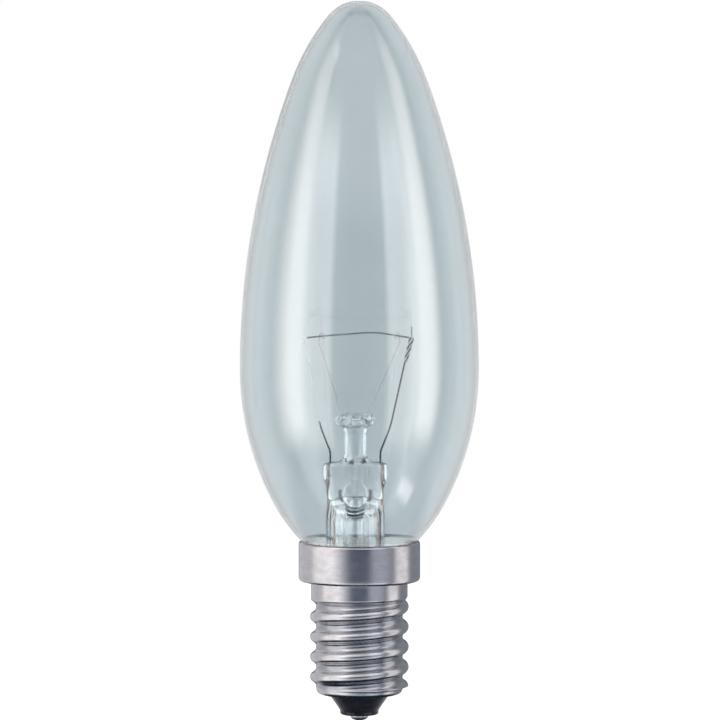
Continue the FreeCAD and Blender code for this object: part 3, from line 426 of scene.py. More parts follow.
def glassSide(step):
    # The outer side from the tip down as six arcs, each touching the next, and the
    # straight neck. Returns the points and the direction square to the glass at each.
    half = glass["diameter"] / 2
    top = glass["rim"] + glass["height"]
    belly = glass["rim"] + glass["bellyHeight"]
    tipR, shoulderR, sideR, bellyR, lowerR, neckR = (
        glass[part + "Radius"] for part in ("tip", "shoulder", "side", "belly", "lower", "neck"))
    tip = np.array([0, top - tipR])
    side = np.array([half - sideR, belly])
    shoulder = circlesMeet(tip, shoulderR - tipR, side, sideR - shoulderR)
    low = np.array([half - bellyR, belly])
    lower = circlesMeet(low, bellyR - lowerR, np.array([glass["entry"], glass["rim"]]), lowerR)
    neckX = glass["neckOuter"] + neckR
    neck = np.array([neckX, lower[1] - math.sqrt((lowerR + neckR) ** 2 - (neckX - lower[0]) ** 2)])
    joints = [np.array([0, top]), tip + unit(tip - shoulder) * tipR,
              shoulder + unit(shoulder - side) * shoulderR, np.array([half, belly]),
              lower + unit(lower - low) * lowerR, lower + unit(neck - lower) * lowerR,
              np.array([glass["neckOuter"], neck[1]])]
    points, outward = [], []
    for centre, radius, start, end in zip((tip, shoulder, side, low, lower, neck),
                                          (tipR, shoulderR, sideR, bellyR, lowerR, neckR),
                                          joints, joints[1:]):
        first, last = (math.atan2(*(p - centre)[::-1]) for p in (start, end))
        turn = (last - first + math.pi) % (2 * math.pi) - math.pi
        count = max(int(abs(turn) * radius / step), 6)
        angle = first + turn * np.arange(count) / count
        ray = np.stack([np.cos(angle), np.sin(angle)], 1)
        points.append(centre + radius * ray)
        outward.append(ray * (-1 if centre is neck else 1))
    count = 8
    straight = np.linspace(neck[1], glass["neckBase"], count)
    points.append(np.stack([np.full(count, glass["neckOuter"]), straight], 1))
    outward.append(np.tile([1.0, 0.0], (count, 1)))
    return np.concatenate(points)[1:], np.concatenate(outward)[1:]


def makeEnvelope():
    # Outside: the side turned round the axis. Inside: the same set in by the wall, which
    # drifts a little round and along, as blown glass does, but for the part in the cap.
    side, outward = glassSide(glass["sideStep"])
    angles = angleSteps(glass["columns"])
    outer = turned(side - outward * glass["inset"], angles)
    height = side[:, 1, None]
    drift = np.sin(2 * angles + height / 9) * 0.6 + np.sin(3 * angles - height / 14) * 0.4
    fade = ease((height - glass["rippleFoot"]) / glass["rippleFade"])
    wall = glass["wall"] * (1 + glass["ripple"] * drift * fade)
    radius = np.maximum(side[:, 0, None] - outward[:, 0, None] * wall, 0.02)
    inner = np.stack([radius * np.cos(angles), radius * np.sin(angles),
                      height - outward[:, 1, None] * wall], -1)
    points = np.concatenate([outer, inner[::-1]])
    return addPiece("glassEnvelope", points, "points", clearGlass, ["glass_envelope"])


makeEnvelope()
print("envelope blown")


# the glass mount: flare, tube, press, cane and button in one melt

mount = dict(offset=-0.55, foot=20.25, flareRadius=6.28, flareTop=23.85, tube=4.15, wall=0.75,
             tubeTop=28.25, pressBase=31.85, pressTop=36.25, pressHalf=4.6, pressFoot=3.95, pressDeep=2.0,
             slitTop=31.45, slitHalf=3.95, slitDeep=0.45, cane=1.65, caneSwell=0.1, button=2.9,
             buttonBase=41.15, buttonTop=43.05, lobes=7, lobeDepth=0.26, dimple=0.4,
             dents=((-2.35, 0.75), (-1.72, 0.35), (-1.15, 0.62), (-0.75, 0.3), (-0.35, 0.8), (-2.9, 0.5)),
             holeHeight=32.1, holeRadius=1.62, holeDepth=1.0, holeRim=0.14,
             lipRidges=0.46, lipDepth=0.06, lipReach=3.3, streakDepth=0.05)


def squeezed(angles, halfWidth, halfDepth, offset, flat):
    # A ring pressed flat: x = w sign(cos a) |cos a|^p and y = d sign(sin a) |sin a|^p,
    # where p goes from 1 for a round tube down towards 0.6 for the squared press.
    power = 1 - 0.4 * flat
    cosine, sine = np.cos(angles), np.sin(angles)
    return np.stack([halfWidth * np.sign(cosine) * np.abs(cosine) ** power + offset,
                     halfDepth * np.sign(sine) * np.abs(sine) ** power], -1)


def alongHeights(heights, stations):
    # each column of the stations (height, value, value ...) eased between its heights
    stations = np.array(stations, float)
    index = np.clip(np.searchsorted(stations[:, 0], heights, side="right") - 1, 0, len(stations) - 2)
    low, high = stations[index], stations[index + 1]
    share = ease((heights - low[:, 0]) / np.maximum(high[:, 0] - low[:, 0], 1e-9))[:, None]
    return low[:, 1:] + (high[:, 1:] - low[:, 1:]) * share


def mountShape(heights, stations, angles):
    # the squeezed ring of each height, as points
    shape = alongHeights(heights, stations)
    flat = squeezed(angles[None], shape[:, :1], shape[:, 1:2], shape[:, 2:3], shape[:, 3:4])
    return np.concatenate([flat, np.broadcast_to(heights[:, None, None], flat[..., :1].shape)], -1)


def frontSteps(front, back):
    # Steps round the axis, closest together in the middle of the front and of the back:
    # a quarter turn * s |s|^0.5 either side of each middle, s even from -1 to 1.
    rings = []
    for count, middle in ((front, -math.pi / 2), (back, math.pi / 2)):
        even = (np.arange(count) + 0.5) / count * 2 - 1
        rings.append(middle + math.pi / 2 * even * np.abs(even) ** 0.5)
    return np.concatenate(rings)


def makeMount():
    # Outside from the foot of the flare up over the press and the cane to the button, and
    # inside back down the bore, as one closed run of rings.
    m = mount
    offset, cane, deep, button = m["offset"], m["cane"], m["pressDeep"], m["button"]
    pressTop, buttonBase, buttonTop = m["pressTop"], m["buttonBase"], m["buttonTop"]
    flare, tube, wall = m["flareRadius"], m["tube"], m["wall"]
    waist, bore = cane - m["caneSwell"], tube - wall
    angles = frontSteps(200, 90)
    dentFoot = m["holeHeight"] - m["lipReach"] - 0.1
    dentTop = m["holeHeight"] + 2.0
    pressEdge = np.array([-0.6, -0.45, -0.3, -0.18, -0.08, -0.02, 0.02, 0.08, 0.18, 0.32, 0.5, 0.75])
    underEdge = np.array([-0.35, -0.2, -0.08, 0.0, 0.08, 0.18, 0.3, 0.42, 0.55, 0.7, 0.85, 1.0])
    upperEdge = np.array([0.78, 0.66, 0.54, 0.42, 0.3, 0.2, 0.12, 0.05, 0.0, 0.0, 0.0, 0.0])
    outerHeights = np.concatenate([
        np.linspace(m["foot"], dentFoot, 50, endpoint=False),
        np.linspace(dentFoot, dentTop, 70, endpoint=False),
        np.linspace(dentTop, pressTop - 0.6, 14, endpoint=False), pressTop + pressEdge,
        np.linspace(pressTop + 0.9, buttonBase - 0.5, 20), buttonBase + underEdge,
        buttonTop - upperEdge])
    stations = [  # height, half width, half depth, offset, flat
        (m["foot"], flare, flare, 0, 0),
        (m["foot"] + 0.7, flare, flare, 0, 0),
        (m["flareTop"] + 0.4, tube, tube, offset, 0),
        (m["tubeTop"], tube, tube, offset, 0),
        (m["pressBase"] - 0.6, m["pressFoot"], deep + 0.2, offset, 0.6),
        (m["pressBase"] + 0.4, m["pressFoot"] + 0.1, deep, offset, 1),
        (pressTop - 1.3, m["pressHalf"], deep, offset, 1),
        (pressTop - 0.3, m["pressHalf"] - 0.1, deep, offset, 1),
        (pressTop, m["pressHalf"] - 0.65, deep - 0.35, offset, 0.9),
        (pressTop + 0.1, cane + 0.75, deep - 0.6, offset, 0.3),
        (pressTop + 0.5, cane + 0.1, cane + 0.05, offset, 0.1),
        (pressTop + 1.3, waist, waist, offset, 0),
        (buttonBase - 1.2, waist, waist, offset, 0),
        (buttonBase - 0.05, cane + 0.1, cane + 0.1, offset, 0),
        (buttonBase + 0.5, button - 0.15, button - 0.15, offset, 0),
        (buttonTop - 0.85, button, button, offset, 0),
        (buttonTop - 0.3, button - 0.3, button - 0.3, offset, 0),
        (buttonTop, button - 0.9, button - 0.9, offset, 0)]
    outer = mountShape(outerHeights, stations, angles)
    # the last rings close the button's top
    closing = np.array([0.78, 0.52, 0.26])[:, None, None]
    middle = np.array([offset, 0.0])
    outer[-3:, :, :2] = middle + (outer[-4:-3, :, :2] - middle) * closing
    outer, outerShade = buttonLumps(*dentedFront(outer))
    innerStations = [
        (m["foot"], flare - wall, flare - wall, 0, 0),
        (m["flareTop"] + 0.2, bore, bore, offset, 0),
        (m["tubeTop"] + 1.0, bore, bore, offset, 0),
        (m["slitTop"] - 0.6, m["slitHalf"] - 0.7, m["slitDeep"] + 0.5, offset, 0.4),
        (m["slitTop"], m["slitHalf"] - 1.6, m["slitDeep"], offset, 0.6)]
    innerHeights = np.linspace(m["foot"], m["slitTop"], 60)
    inner = mountShape(innerHeights, innerStations, angles)
    inner[..., :2] *= 1 + (m["streakDepth"] / tube) * drawnStreaks(angles)[None, :, None]
    points = np.concatenate([inner[::-1], outer])
    piece = addPiece("glassMount", points, "points", stemGlass, ["stem_tube", "button_rod"])
    # the shade attribute paints shade: 1 for clear glass, down to 0 at the hole's ridges and hooks and at
    # the button's dark specks
    paint(piece, "shade", np.concatenate([np.ones(inner.shape[:2]), outerShade]))


def drawnStreaks(angles):
    # the drawn tube's own uneven wall: a few waves of different length round the bore
    return (0.5 * np.sin(7 * angles + 0.4) + 0.35 * np.sin(13 * angles + 2.1)
            + 0.3 * np.sin(23 * angles) + 0.2 * np.sin(37 * angles + 1.0))


def dentedFront(points):
    # The blown hole in the front: the glass goes back by depth times an eased disc, and
    # comes forward in a soft rim, rim * exp(-((d - r) / w)^2). Below it the glass hangs in
    # ridges, sin of the distance over one ridge. Painted shade: the ridges are painted dark
    # but for their crests, and so is a hook at either side of the hole.
    m = mount
    across = points[..., 0] - m["offset"]
    rise = points[..., 2] - m["holeHeight"]
    distance = np.hypot(across, rise)
    front = points[..., 1] < -0.2
    dent = m["holeDepth"] * ease((m["holeRadius"] - distance) / 0.5 + 0.5)
    rim = m["holeRim"] * bell(distance - m["holeRadius"] - 0.2, 0.22)
    beyond = distance - m["holeRadius"] - 0.25
    under = (ease(beyond / 0.15) * ease((m["lipReach"] - m["holeRadius"] - beyond) / 0.3)
             * ease((1.65 - 0.3 * beyond - np.abs(across)) / 0.2) * (rise < 0))
    wave = np.sin(2 * math.pi * beyond / m["lipRidges"] + 0.8 * np.sin(2.3 * across))
    moved = points.copy()
    moved[..., 1] += np.where(front, dent - rim + m["lipDepth"] * under * wave, 0)
    # painted shade, from 0 clear to 1 dark: the ridges but for their crests, and a hook at either side of
    # the hole
    paintedHooks = bell(distance - m["holeRadius"] - 0.5, 0.26) * ease((1.0 - np.abs(rise + 0.3)) / 0.3)
    dark = np.clip(under * ease(1.0 + 0.75 * wave) + 0.95 * paintedHooks, 0, 1)
    return moved, 1 - np.where(front, dark, 0)


def buttonLumps(points, shade):
    # The melted button: uneven lobes as |sin| of half the angle times their number round its
    # edge, a dimple at each dent, waves on its top, and painted shade: dark specks at the
    # dimples and at the cane's foot.
    m = mount
    across = points[..., 0] - m["offset"]
    angle = np.arctan2(points[..., 1], across)
    height = points[..., 2]
    onButton = ease((height - m["buttonBase"] + 0.1) / 0.5)
    middle = bell(height - (m["buttonBase"] + m["buttonTop"]) / 2, 1.0)
    lobe = np.abs(np.sin(angle * m["lobes"] / 2 + 0.3)) - 1
    lobe = lobe * (0.75 + 0.25 * np.sin(3 * angle + 1.0))
    radius = np.hypot(across, points[..., 1])
    scale = 1 + onButton * middle * m["lobeDepth"] * lobe * ease((radius - 1.0) / 1.4)
    spots = np.zeros_like(height)
    for turn, drop in m["dents"]:
        off = np.hypot((angle - turn) * m["button"] * 0.8, height - m["buttonTop"] + drop)
        spots = spots + bell(off, 0.3) * onButton
    scale = scale - m["dimple"] / m["button"] * spots
    lift = -0.3 * onButton * bell(radius - 1.5, 0.6) * (1 + np.sin(5 * angle + 0.5)) / 2
    foot = m["pressTop"] + 0.12
    paintedFootSpecks = bell(height - foot, 0.36) * ease(np.sin(angle * 6 + 0.4) * 2) * ease((2.4 - radius) / 0.5)
    # painted shade at the dimples and in specks at the cane's foot
    darker = np.clip(0.9 * spots ** 2 + paintedFootSpecks, 0, 1)
    lift = lift * (height > m["buttonTop"] - 0.4)
    moved = np.stack([across * scale + m["offset"], points[..., 1] * scale, height + lift], -1)
    return moved, shade * (1 - darker)


makeMount()
exhaust = dict(offset=-0.55, outer=1.8, inner=1.2, foot=12.55, top=31.05, footRound=1.1,
               sealFloor=1.4, sealTop=2.4)


def makeExhaust():
    # a tube turned about the mount's own axis, melted shut at its foot
    e = exhaust
    run = roundedRun([
        (0.05, e["foot"]), (e["outer"], e["foot"] + 0.1, e["footRound"]), (e["outer"], e["top"], 0.2),
        (e["inner"], e["top"], 0.2), (e["inner"], e["foot"] + e["sealTop"], 0.8),
        (0.05, e["foot"] + e["sealFloor"])], 0.6)
    points = turned(run, angleSteps(64), e["offset"])
    piece = addPiece("exhaustTube", points, "points", stemGlass, ["exhaust_tube"])
    paint(piece, "shade", np.ones(points.shape[:2]))


makeExhaust()
print("glass mount made")


# the filament

filament = dict(coil=0.1, wire=0.022, pitch=0.1, turnSteps=10, left=-7.4, right=8.1, inset=0.27,
                beside=0.35, height=53.55, hookLeft=-5.1, hookRight=6.15, hookBack=4.6,
                archBack=1.6, archRise=0.33, archLean=0.15, archPlace=0.3, tail=1.6, offset=-0.55)


def makeFilament():
    # A helix about the route: route + coil (cos n * side + sin n * up), n one turn for
    # each pitch of the route, and the wire's own ring carried along that helix.
    f = filament
    left = np.array([f["hookLeft"], f["hookBack"], f["height"]])
    right = np.array([f["hookRight"], f["hookBack"], f["height"]])
    arch = np.array([0, f["archBack"], f["archRise"]])
    lean = np.array([0, 0, f["archLean"]])
    inwards = (right - left) * f["archPlace"]
    start = np.array([f["left"] + f["inset"], f["beside"], f["height"]])
    end = np.array([f["right"] - f["inset"], f["beside"], f["height"]])
    corners = np.array([start, left, left + inwards + arch - lean, right - inwards + arch + lean,
                        right, end, end, end + [0, 0, f["tail"]]]) + [f["offset"], 0, 0]
    route = smoothRoute(corners, 60)
    length = np.linalg.norm(np.diff(route, axis=0), axis=1).sum()
    turns = int(length / f["pitch"])
    route = evenly(route, turns * f["turnSteps"])
    along = unit(np.gradient(route, axis=0))
    side = unit(np.cross(along, [0.0, 0.6, 0.8]))
    up = np.cross(side, along)
    phase = (2 * math.pi * turns * np.linspace(0, 1, len(route)))[:, None]
    helix = route + f["coil"] * (np.cos(phase) * side + np.sin(phase) * up)
    points = carried(helix, f["wire"], along, 5)
    return addPiece("filamentCoil", points, "points", tungsten, ["filament"])


makeFilament()
print("filament wound")

leads = dict(offset=-0.55, foot=36.25, spacing=3.5, rise=1.5, kneeRise=5.0, knee=4.9, tip=53.65,
             clampLength=3.4, fold=0.4, squeeze=0.27, wire=0.14, clampSwell=0.3, twist=0.75,
             groove=0.16, darkBelow=41.2, length=22.0, steps=480, sides=12)


def makeLead(name, side, reach, node):
    # A lead in the XZ plane, folded back on itself at its tip. Two strands twisted into
    # one: radius * (1 - groove * sin^2 of the angle less half a turn for each twist length).
    # It swells and is mottled where it is clamped. The left one is bright above darkBelow, a
    # painted highlight, and all the rest is dark; on the right one that dark is painted shade,
    # a shaded copy of the left.
    n = leads
    lean = (reach - n["knee"]) / (n["tip"] - n["foot"] - n["kneeRise"])
    outer, top = reach - 0.07, n["tip"] - 0.05
    inner = outer - n["fold"]
    back = inner - lean * n["clampLength"] + n["squeeze"] + 0.08
    corners = [(n["spacing"], n["foot"]), (n["spacing"], n["foot"] + n["rise"], 0.42),
               (n["knee"], n["foot"] + n["kneeRise"], 1.1), (inner, top, 0.17), (outer, top, 0.17),
               (back, n["tip"] - n["clampLength"])]
    run = roundedRun(corners, 0.1, 8)
    line = np.stack([side * run[:, 0] + n["offset"], 0 * run[:, 0], run[:, 1]], 1)
    line = evenly(line, n["steps"])
    reachAlong = np.linspace(0, 1, n["steps"])[:, None] * n["length"]
    angles = angleSteps(n["sides"])[None]
    strand = np.cos(angles - math.pi * reachAlong / n["twist"]) ** 2
    clamped = ease((line[:, 2:] - n["tip"] + n["clampLength"] + 0.2) / 0.4)
    radius = n["wire"] * (1 - n["groove"] * (1 - strand)) * (1 + n["clampSwell"] * clamped)
    points = carried(line, radius, np.array([0.0, 1.0, 0.0]), n["sides"])
    piece = addPiece(name, points, "points", leadNickel, [node])
    # painted light: the left lead painted bright above darkBelow, the right one dark all along, as lit
    # and shaded copies of one wire
    if side < 0:
        bareAndLit = 0.25 + ease((line[:, 2:] - n["darkBelow"]) / 1.5)
    else:
        bareAndLit = 0.28 + 0 * line[:, 2:]
    mottle = 0.5 + 0.5 * np.sin(5.5 * reachAlong + 2 * np.cos(angles))
    free = bareAndLit * (0.45 + 0.8 * strand)
    pressed = np.maximum(bareAndLit - 0.3, 0.1 + 0.7 * mottle)
    paint(piece, "bareAndLit", np.clip(free * (1 - clamped) + pressed * clamped, 0, 1))


makeLead("leftLead", -1, 7.4, "left_inner_lead")
makeLead("rightLead", 1, 8.1, "right_inner_lead")
print("leads twisted")


# the cap

cap = dict(crest=6.9, root=6.05, pitch=2.822, first=1.48, curlTop=4.57, collarBase=17.48,
           collar=6.75, skirtBase=19.63, skirt=8.5, rim=25.18, sheet=0.32, lip=4.2, lipHeight=3.59,
           curl=0.7, curlSlope=0.28, skirtRound=0.6, rimRound=0.45, runoutTop=1.0, runoutBottom=0.32,
           columns=216, threadRows=132)


def threadRadius(angles, heights):
    # Way off the nearest crest: off = pitch * |t - round(t)| for t turns. Crest and root
    # are arcs of one radius that meet half way: crest - arc + sqrt(arc^2 - off^2), and the
    # same turned over; both ends ease into the plain sheet.
    c = cap
    lean = 2 * math.atan2(c["crest"] - c["root"], c["pitch"] / 2)
    quarter = c["pitch"] / 4
    arc = quarter / math.sin(lean)
    turns = (heights - c["collarBase"] + c["first"]) / c["pitch"] - angles / (2 * math.pi)
    off = np.abs(turns - np.round(turns)) * c["pitch"]
    high = c["crest"] - arc + np.sqrt(arc ** 2 - np.minimum(off, quarter) ** 2)
    low = c["root"] + arc - np.sqrt(arc ** 2 - np.minimum(2 * quarter - off, quarter) ** 2)
    radius = np.where(off < quarter, high, low)
    top = ease((c["collarBase"] - heights) / c["runoutTop"])
    foot = ease((heights - c["curlTop"]) / c["runoutBottom"])
    radius = c["collar"] * (1 - top) + radius * top
    return c["root"] * (1 - foot) + radius * foot


def makeCapShell():
    # Outside and inside of the drawn sheet as one closed run turned round the axis, with
    # the rolled thread's radius put in between curl and collar.
    c = cap
    angles = angleSteps(c["columns"])
    slopeTop = c["lipHeight"] + c["curlSlope"]
    below = roundedRun([
        (c["lip"], c["lipHeight"] + c["sheet"]), (c["lip"], c["lipHeight"], 0.1),
        (c["root"], slopeTop, c["curl"]), (c["root"], c["curlTop"])], 0.3, 10)
    threadHeights = np.linspace(c["curlTop"], c["collarBase"], c["threadRows"])[1:]
    skirtIn, collarIn, rootIn = (c[key] - c["sheet"] for key in ("skirt", "collar", "root"))
    shoulderIn = c["skirtBase"] + c["sheet"]
    above = roundedRun([
        (c["collar"], c["collarBase"] + 0.05), (c["collar"], c["skirtBase"], 0.12),
        (c["skirt"], c["skirtBase"], c["skirtRound"]), (c["skirt"], c["rim"], c["rimRound"]),
        (skirtIn, c["rim"], 0.1), (skirtIn, shoulderIn, 0.28), (collarIn, shoulderIn, 0.1),
        (collarIn, c["collarBase"], 0.3), (rootIn, c["collarBase"] - c["runoutTop"], 0.3),
        (rootIn, slopeTop + c["sheet"], 0.38)], 0.35, 8)
    thread = np.stack([np.full(len(threadHeights), c["root"]), threadHeights], 1)
    points = turned(np.concatenate([below, thread, above]), angles)
    rows = slice(len(below), len(below) + len(thread))
    radius = threadRadius(angles[None], threadHeights[:, None])
    points[rows, :, 0] = radius * np.cos(angles)
    points[rows, :, 1] = radius * np.sin(angles)
    return addPiece("capShell", points, "loop", capMetal, ["cap_shell"])


makeCapShell()

insulator = dict(base=2.7, baseHeight=0.85, rim=0.6, edge=0.3, lip=4.18, lipHeight=3.59,
                 seat=3.93, hole=0.6, recess=1.92, ceiling=1.12, bore=5.71, curlTop=4.57, top=5.59)


def makeInsulator():
    # the moulded black glass, a closed run turned round the axis
    f = insulator
    run = roundedRun([
        (f["hole"], f["ceiling"]), (f["recess"], f["ceiling"]), (f["recess"], f["baseHeight"], 0.06),
        (f["base"], f["baseHeight"], f["edge"]), (f["base"], f["baseHeight"] + f["rim"], 0.2),
        (f["lip"], f["lipHeight"], 0.1), (f["lip"], f["seat"]), (f["bore"] - 0.4, f["seat"] + 0.28, 0.3),
        (f["bore"], f["curlTop"], 0.2), (f["bore"], f["top"], 0.3), (f["hole"], f["top"])], 0.25)
    points = turned(run, angleSteps(120))
    return addPiece("insulator", points, "loop", blackGlass, ["insulator"])


makeInsulator()

dome = dict(radius=1.3, flat=0.5, lift=0.004, drop=0.83, pin=0.31, top=1.9)


def makeContactDome():
    # the solder dome: its run turned round, pulled in by slow waves round the axis
    d = dome
    run = roundedRun([
        (0.05, d["lift"]), (d["flat"], d["lift"]), (d["radius"] * 0.86, 0.2, 0.3),
        (d["radius"], 0.6, 0.2), (d["radius"], d["drop"], 0.1), (d["pin"], d["drop"], 0.05),
        (d["pin"], d["top"]), (0.05, d["top"])], 0.15)
    angles = angleSteps(64)
    points = turned(run, angles)
    wave = 1 - 0.05 * (1 + np.sin(3 * angles + 0.5)) / 2 - 0.03 * (1 + np.sin(7 * angles)) / 2
    out = ease((run[:, 0, None] - d["flat"]) / 0.6)
    points[..., :2] *= (1 + (wave - 1) * out)[..., None]
    return addPiece("contactDome", points, "points", solder, ["contact_solder"])


makeContactDome()

nodeFinish = dict(contact_plate=contactBrass, cap_cement=cement, side_solder=solder,
                  left_seal_wire=sealCopper, right_seal_wire=sealCopper,
                  left_outer_lead=tailCopper, right_outer_lead=tailCopper,
                  fuse_wire=tailCopper, contact_lead=tailCopper,
                  left_support_wire=supportMetal, right_support_wire=supportMetal)
for node, material in nodeFinish.items():
    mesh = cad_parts[node].data
    mesh.materials.clear()
    mesh.materials.append(material)
print("cap and wires finished")


# studio

studio = dict(given=0.6, seen=1.0, floorHeight=-0.12, floorSize=3.0, floorTone=0.8, floorGlow=0.6,
              cardDistance=0.5, cardStep=0.02, tentDistance=0.6, tentTone=(0.008, 0.025, 0.042),
              domeHeight=0.05, softestFoot=15, lampDistance=0.8, lampAim=0.04)
# Cards round the object: degrees round from the front, minus to the left, degrees of
# rise over the horizon, how soft their sides are in degrees, and the light they give.
# One without round goes the whole way.
glassCards = dict(
    leftPanel=dict(round=(-97, -50), rise=(-33, 95), soft=(24, 11), softTop=95, tone=(1.48, 1.34, 1.27)),
    rightPanel=dict(round=(49, 89), rise=(-33, 95), soft=(15, 14), softTop=95, tone=(1.5, 1.35, 1.28)),
    leftWing=dict(round=(-58, -24), rise=(-38, 42), soft=(7, 7), softTop=14, tone=(0.78, 0.75, 0.74)),
    rightWing=dict(round=(24, 58), rise=(-38, 46), soft=(7, 7), softTop=22, tone=(0.76, 0.73, 0.72)),
    sides=dict(round=(82, 276), rise=(-43, 75), soft=(28, 22), softTop=12, tone=(0.42, 0.42, 0.41)),
    back=dict(round=(108, 252), rise=(-85, 85), soft=(24, 24), softTop=2, tone=(0.26, 0.25, 0.25)),
    crown=dict(round=(-60, 60), rise=(16, 88), soft=(14, 14), tone=(0.3, 0.31, 0.32)),
    lowSpot=dict(round=(55, 84), rise=(-51, -39), soft=(5, 5), tone=(1.2, 1.1, 1.08)),
    table=dict(rise=(-88, -34), softTop=8, tone=(0.09, 0.09, 0.1)))
# what the rays see that went through the envelope and the mount
mountCards = dict(
    leftGlow=dict(round=(-152, -52), rise=(-55, 60), soft=(10, 10), tone=(1.1, 1.12, 1.12)),
    rightGlow=dict(round=(52, 152), rise=(-55, 60), soft=(10, 10), tone=(1.0, 1.02, 1.02)),
    frontShade=dict(round=(-50, 50), rise=(-89, 89), soft=(1, 1), tone=(0.12, 0.14, 0.16), cover=1))
capCards = dict(
    leftBright=dict(round=(-104, -12), rise=(-46, 64), soft=(15, 46), softTop=15, tone=(1.36, 1.31, 1.3)),
    leftDim=dict(round=(-172, -90), rise=(-46, 64), soft=(14, 14), tone=(0.74, 0.72, 0.73)),
    rightDim=dict(round=(14, 74), rise=(-46, 64), soft=(16, 16), tone=(0.4, 0.4, 0.45)),
    rightBright=dict(round=(64, 112), rise=(-46, 64), soft=(14, 14), tone=(1.16, 1.13, 1.14)),
    rightBack=dict(round=(100, 172), rise=(-46, 64), soft=(12, 12), tone=(0.3, 0.3, 0.32)),
    frontDim=dict(round=(-70, 60), rise=(-30, 40), soft=(16, 16), tone=(0.08, 0.09, 0.13)),
    frontHigh=dict(round=(-62, 62), rise=(9, 74), soft=(12, 12), softTop=14, tone=(0.86, 0.86, 0.88)),
    frontLow=dict(round=(-62, 62), rise=(-52, -13), soft=(12, 12), softTop=8, tone=(0.6, 0.61, 0.63)))
# lamps that only the mount shines back: at its sides, and from above for every edge of
# the glass that leans back
glints = dict(
    leftStrip=dict(round=-60, rise=0, size=0.8, tone=7.0),
    rightStrip=dict(round=54, rise=0, size=0.7, tone=6.0),
    leftHigh=dict(round=-58, rise=50, size=0.8, tone=12.0),
    rightHigh=dict(round=58, rise=50, size=0.8, tone=12.0),
    lowFill=dict(round=0, rise=-55, size=0.9, tone=1.5))
tent = dict(all=dict(rise=(-90.1, 90.1), softTop=0.1, tone=studio["tentTone"], cover=1))


def seenShare(nodes, links):
    # 1 where a camera, glossy or transmission ray looks, 0 for the light that is given
    path = nodes.new("ShaderNodeLightPath")
    share = path.outputs["Is Camera Ray"]
    for ray in ("Is Glossy Ray", "Is Transmission Ray"):
        larger = nodes.new("ShaderNodeMath")
        larger.operation = "MAXIMUM"
        links.new(share, larger.inputs[0])
        links.new(path.outputs[ray], larger.inputs[1])
        share = larger.outputs[0]
    return share


def makeWorld():
    # white all round, in one strength for the light it gives and another for what is seen
    world = bpy.data.worlds.new("studioWorld")
    world.use_nodes = True
    nodes, links = world.node_tree.nodes, world.node_tree.links
    nodes.clear()
    mix = nodes.new("ShaderNodeMixShader")
    out = nodes.new("ShaderNodeOutputWorld")
    for slot, strength in ((1, studio["given"]), (2, studio["seen"])):
        background = nodes.new("ShaderNodeBackground")
        background.inputs["Color"].default_value = (1, 1, 1, 1)
        background.inputs["Strength"].default_value = strength
        links.new(background.outputs[0], mix.inputs[slot])
    links.new(seenShare(nodes, links), mix.inputs[0])
    links.new(mix.outputs[0], out.inputs[0])
    bpy.context.scene.world = world


def makeFloor():
    # a plain pale floor that takes the shadow, brought up to white for the eye alone
    finish = Finish("paleFloor", Base_Color=(*[studio["floorTone"]] * 3, 1), Roughness=0.9)
    share = finish.math("MULTIPLY", seenShare(finish.nodes, finish.links), studio["floorGlow"])
    glow = finish.add("ShaderNodeEmission")
    finish.join(share, glow.inputs["Strength"])
    finish.addUp(finish.shader, glow)
    half, height = studio["floorSize"] / 2, studio["floorHeight"]
    mesh = bpy.data.meshes.new("floor")
    mesh.from_pydata([(-half, -half, height), (half, -half, height), (half, half, height),
                      (-half, half, height)], [], [(0, 1, 2, 3)])
    mesh.materials.append(finish.material)
    floor = inScene("floor", mesh)
    floor.visible_glossy = False
    floor.visible_transmission = False


# the rays that see a dome: which depth of theirs has to be more than the number
mirrored = ("Glossy Depth", 0.5)
deepInGlass = ("Transmission Depth", 5.5)


def addDome(name, cards, distance, seenBy=mirrored, lit=None):
    # The cards of one group on one ball round the lamp: centre + distance * (sin a cos e,
    # -cos a cos e, sin e) for a round it and e up it. Each card adds its tone, eased to
    # nothing at its sides; one with a cover hides what is behind it. Only rays of the given
    # kind see it, and only on the pieces of the group, if there is one.
    turnAngle = np.linspace(-180, 180, 241)[None]
    riseAngle = np.linspace(-90, 90, 121)[:, None]
    turn, rise = np.radians(turnAngle), np.radians(riseAngle)
    points = np.array([0, 0, studio["domeHeight"]]) + distance * np.stack([
        np.sin(turn) * np.cos(rise), -np.cos(turn) * np.cos(rise), np.sin(rise) + 0 * turn], -1)
    glow = np.zeros((*points.shape[:2], 4))
    cover = np.zeros(points.shape[:2])
    for card in cards.values():
        foot, top = card["rise"]
        softTop = card.get("softTop") or card["soft"][0]
        softFoot = min(softTop, studio["softestFoot"])
        share = ease((riseAngle - foot) / softFoot) * ease((top - riseAngle) / softTop)
        share = np.broadcast_to(share, cover.shape)
        if "round" in card:
            first, last = card["round"]
            past = (turnAngle - first) % 360
            share = share * ease(past / card["soft"][0]) * ease((last - first - past) / card["soft"][1])
        glow[..., :3] += share[..., None] * card["tone"]
        cover = np.maximum(cover, share * card.get("cover", 0))
    index = np.arange(cover.size).reshape(cover.shape)
    quads = np.stack([index[:-1, :-1], index[:-1, 1:], index[1:, 1:], index[1:, :-1]], -1).reshape(-1, 4)
    shown = (glow[..., :3].sum(-1) + cover).ravel()[quads].max(axis=1) > 0.001
    mesh = bpy.data.meshes.new(name)
    mesh.from_pydata(points.reshape(-1, 3).tolist(), [], quads[shown].tolist())
    for key, kind, field, values in (("glow", "FLOAT_COLOR", "color", glow),
                                     ("cover", "FLOAT", "value", cover)):
        layer = mesh.attributes.new(key, kind, "POINT")
        layer.data.foreach_set(field, values.astype(np.float32).ravel())
    mesh.materials.append(domeFinish(name, *seenBy))
    piece = inScene(name, mesh)
    piece.visible_camera = False
    piece.visible_diffuse = False
    piece.visible_shadow = False
    if lit:
        piece.light_linking.receiver_collection = lit


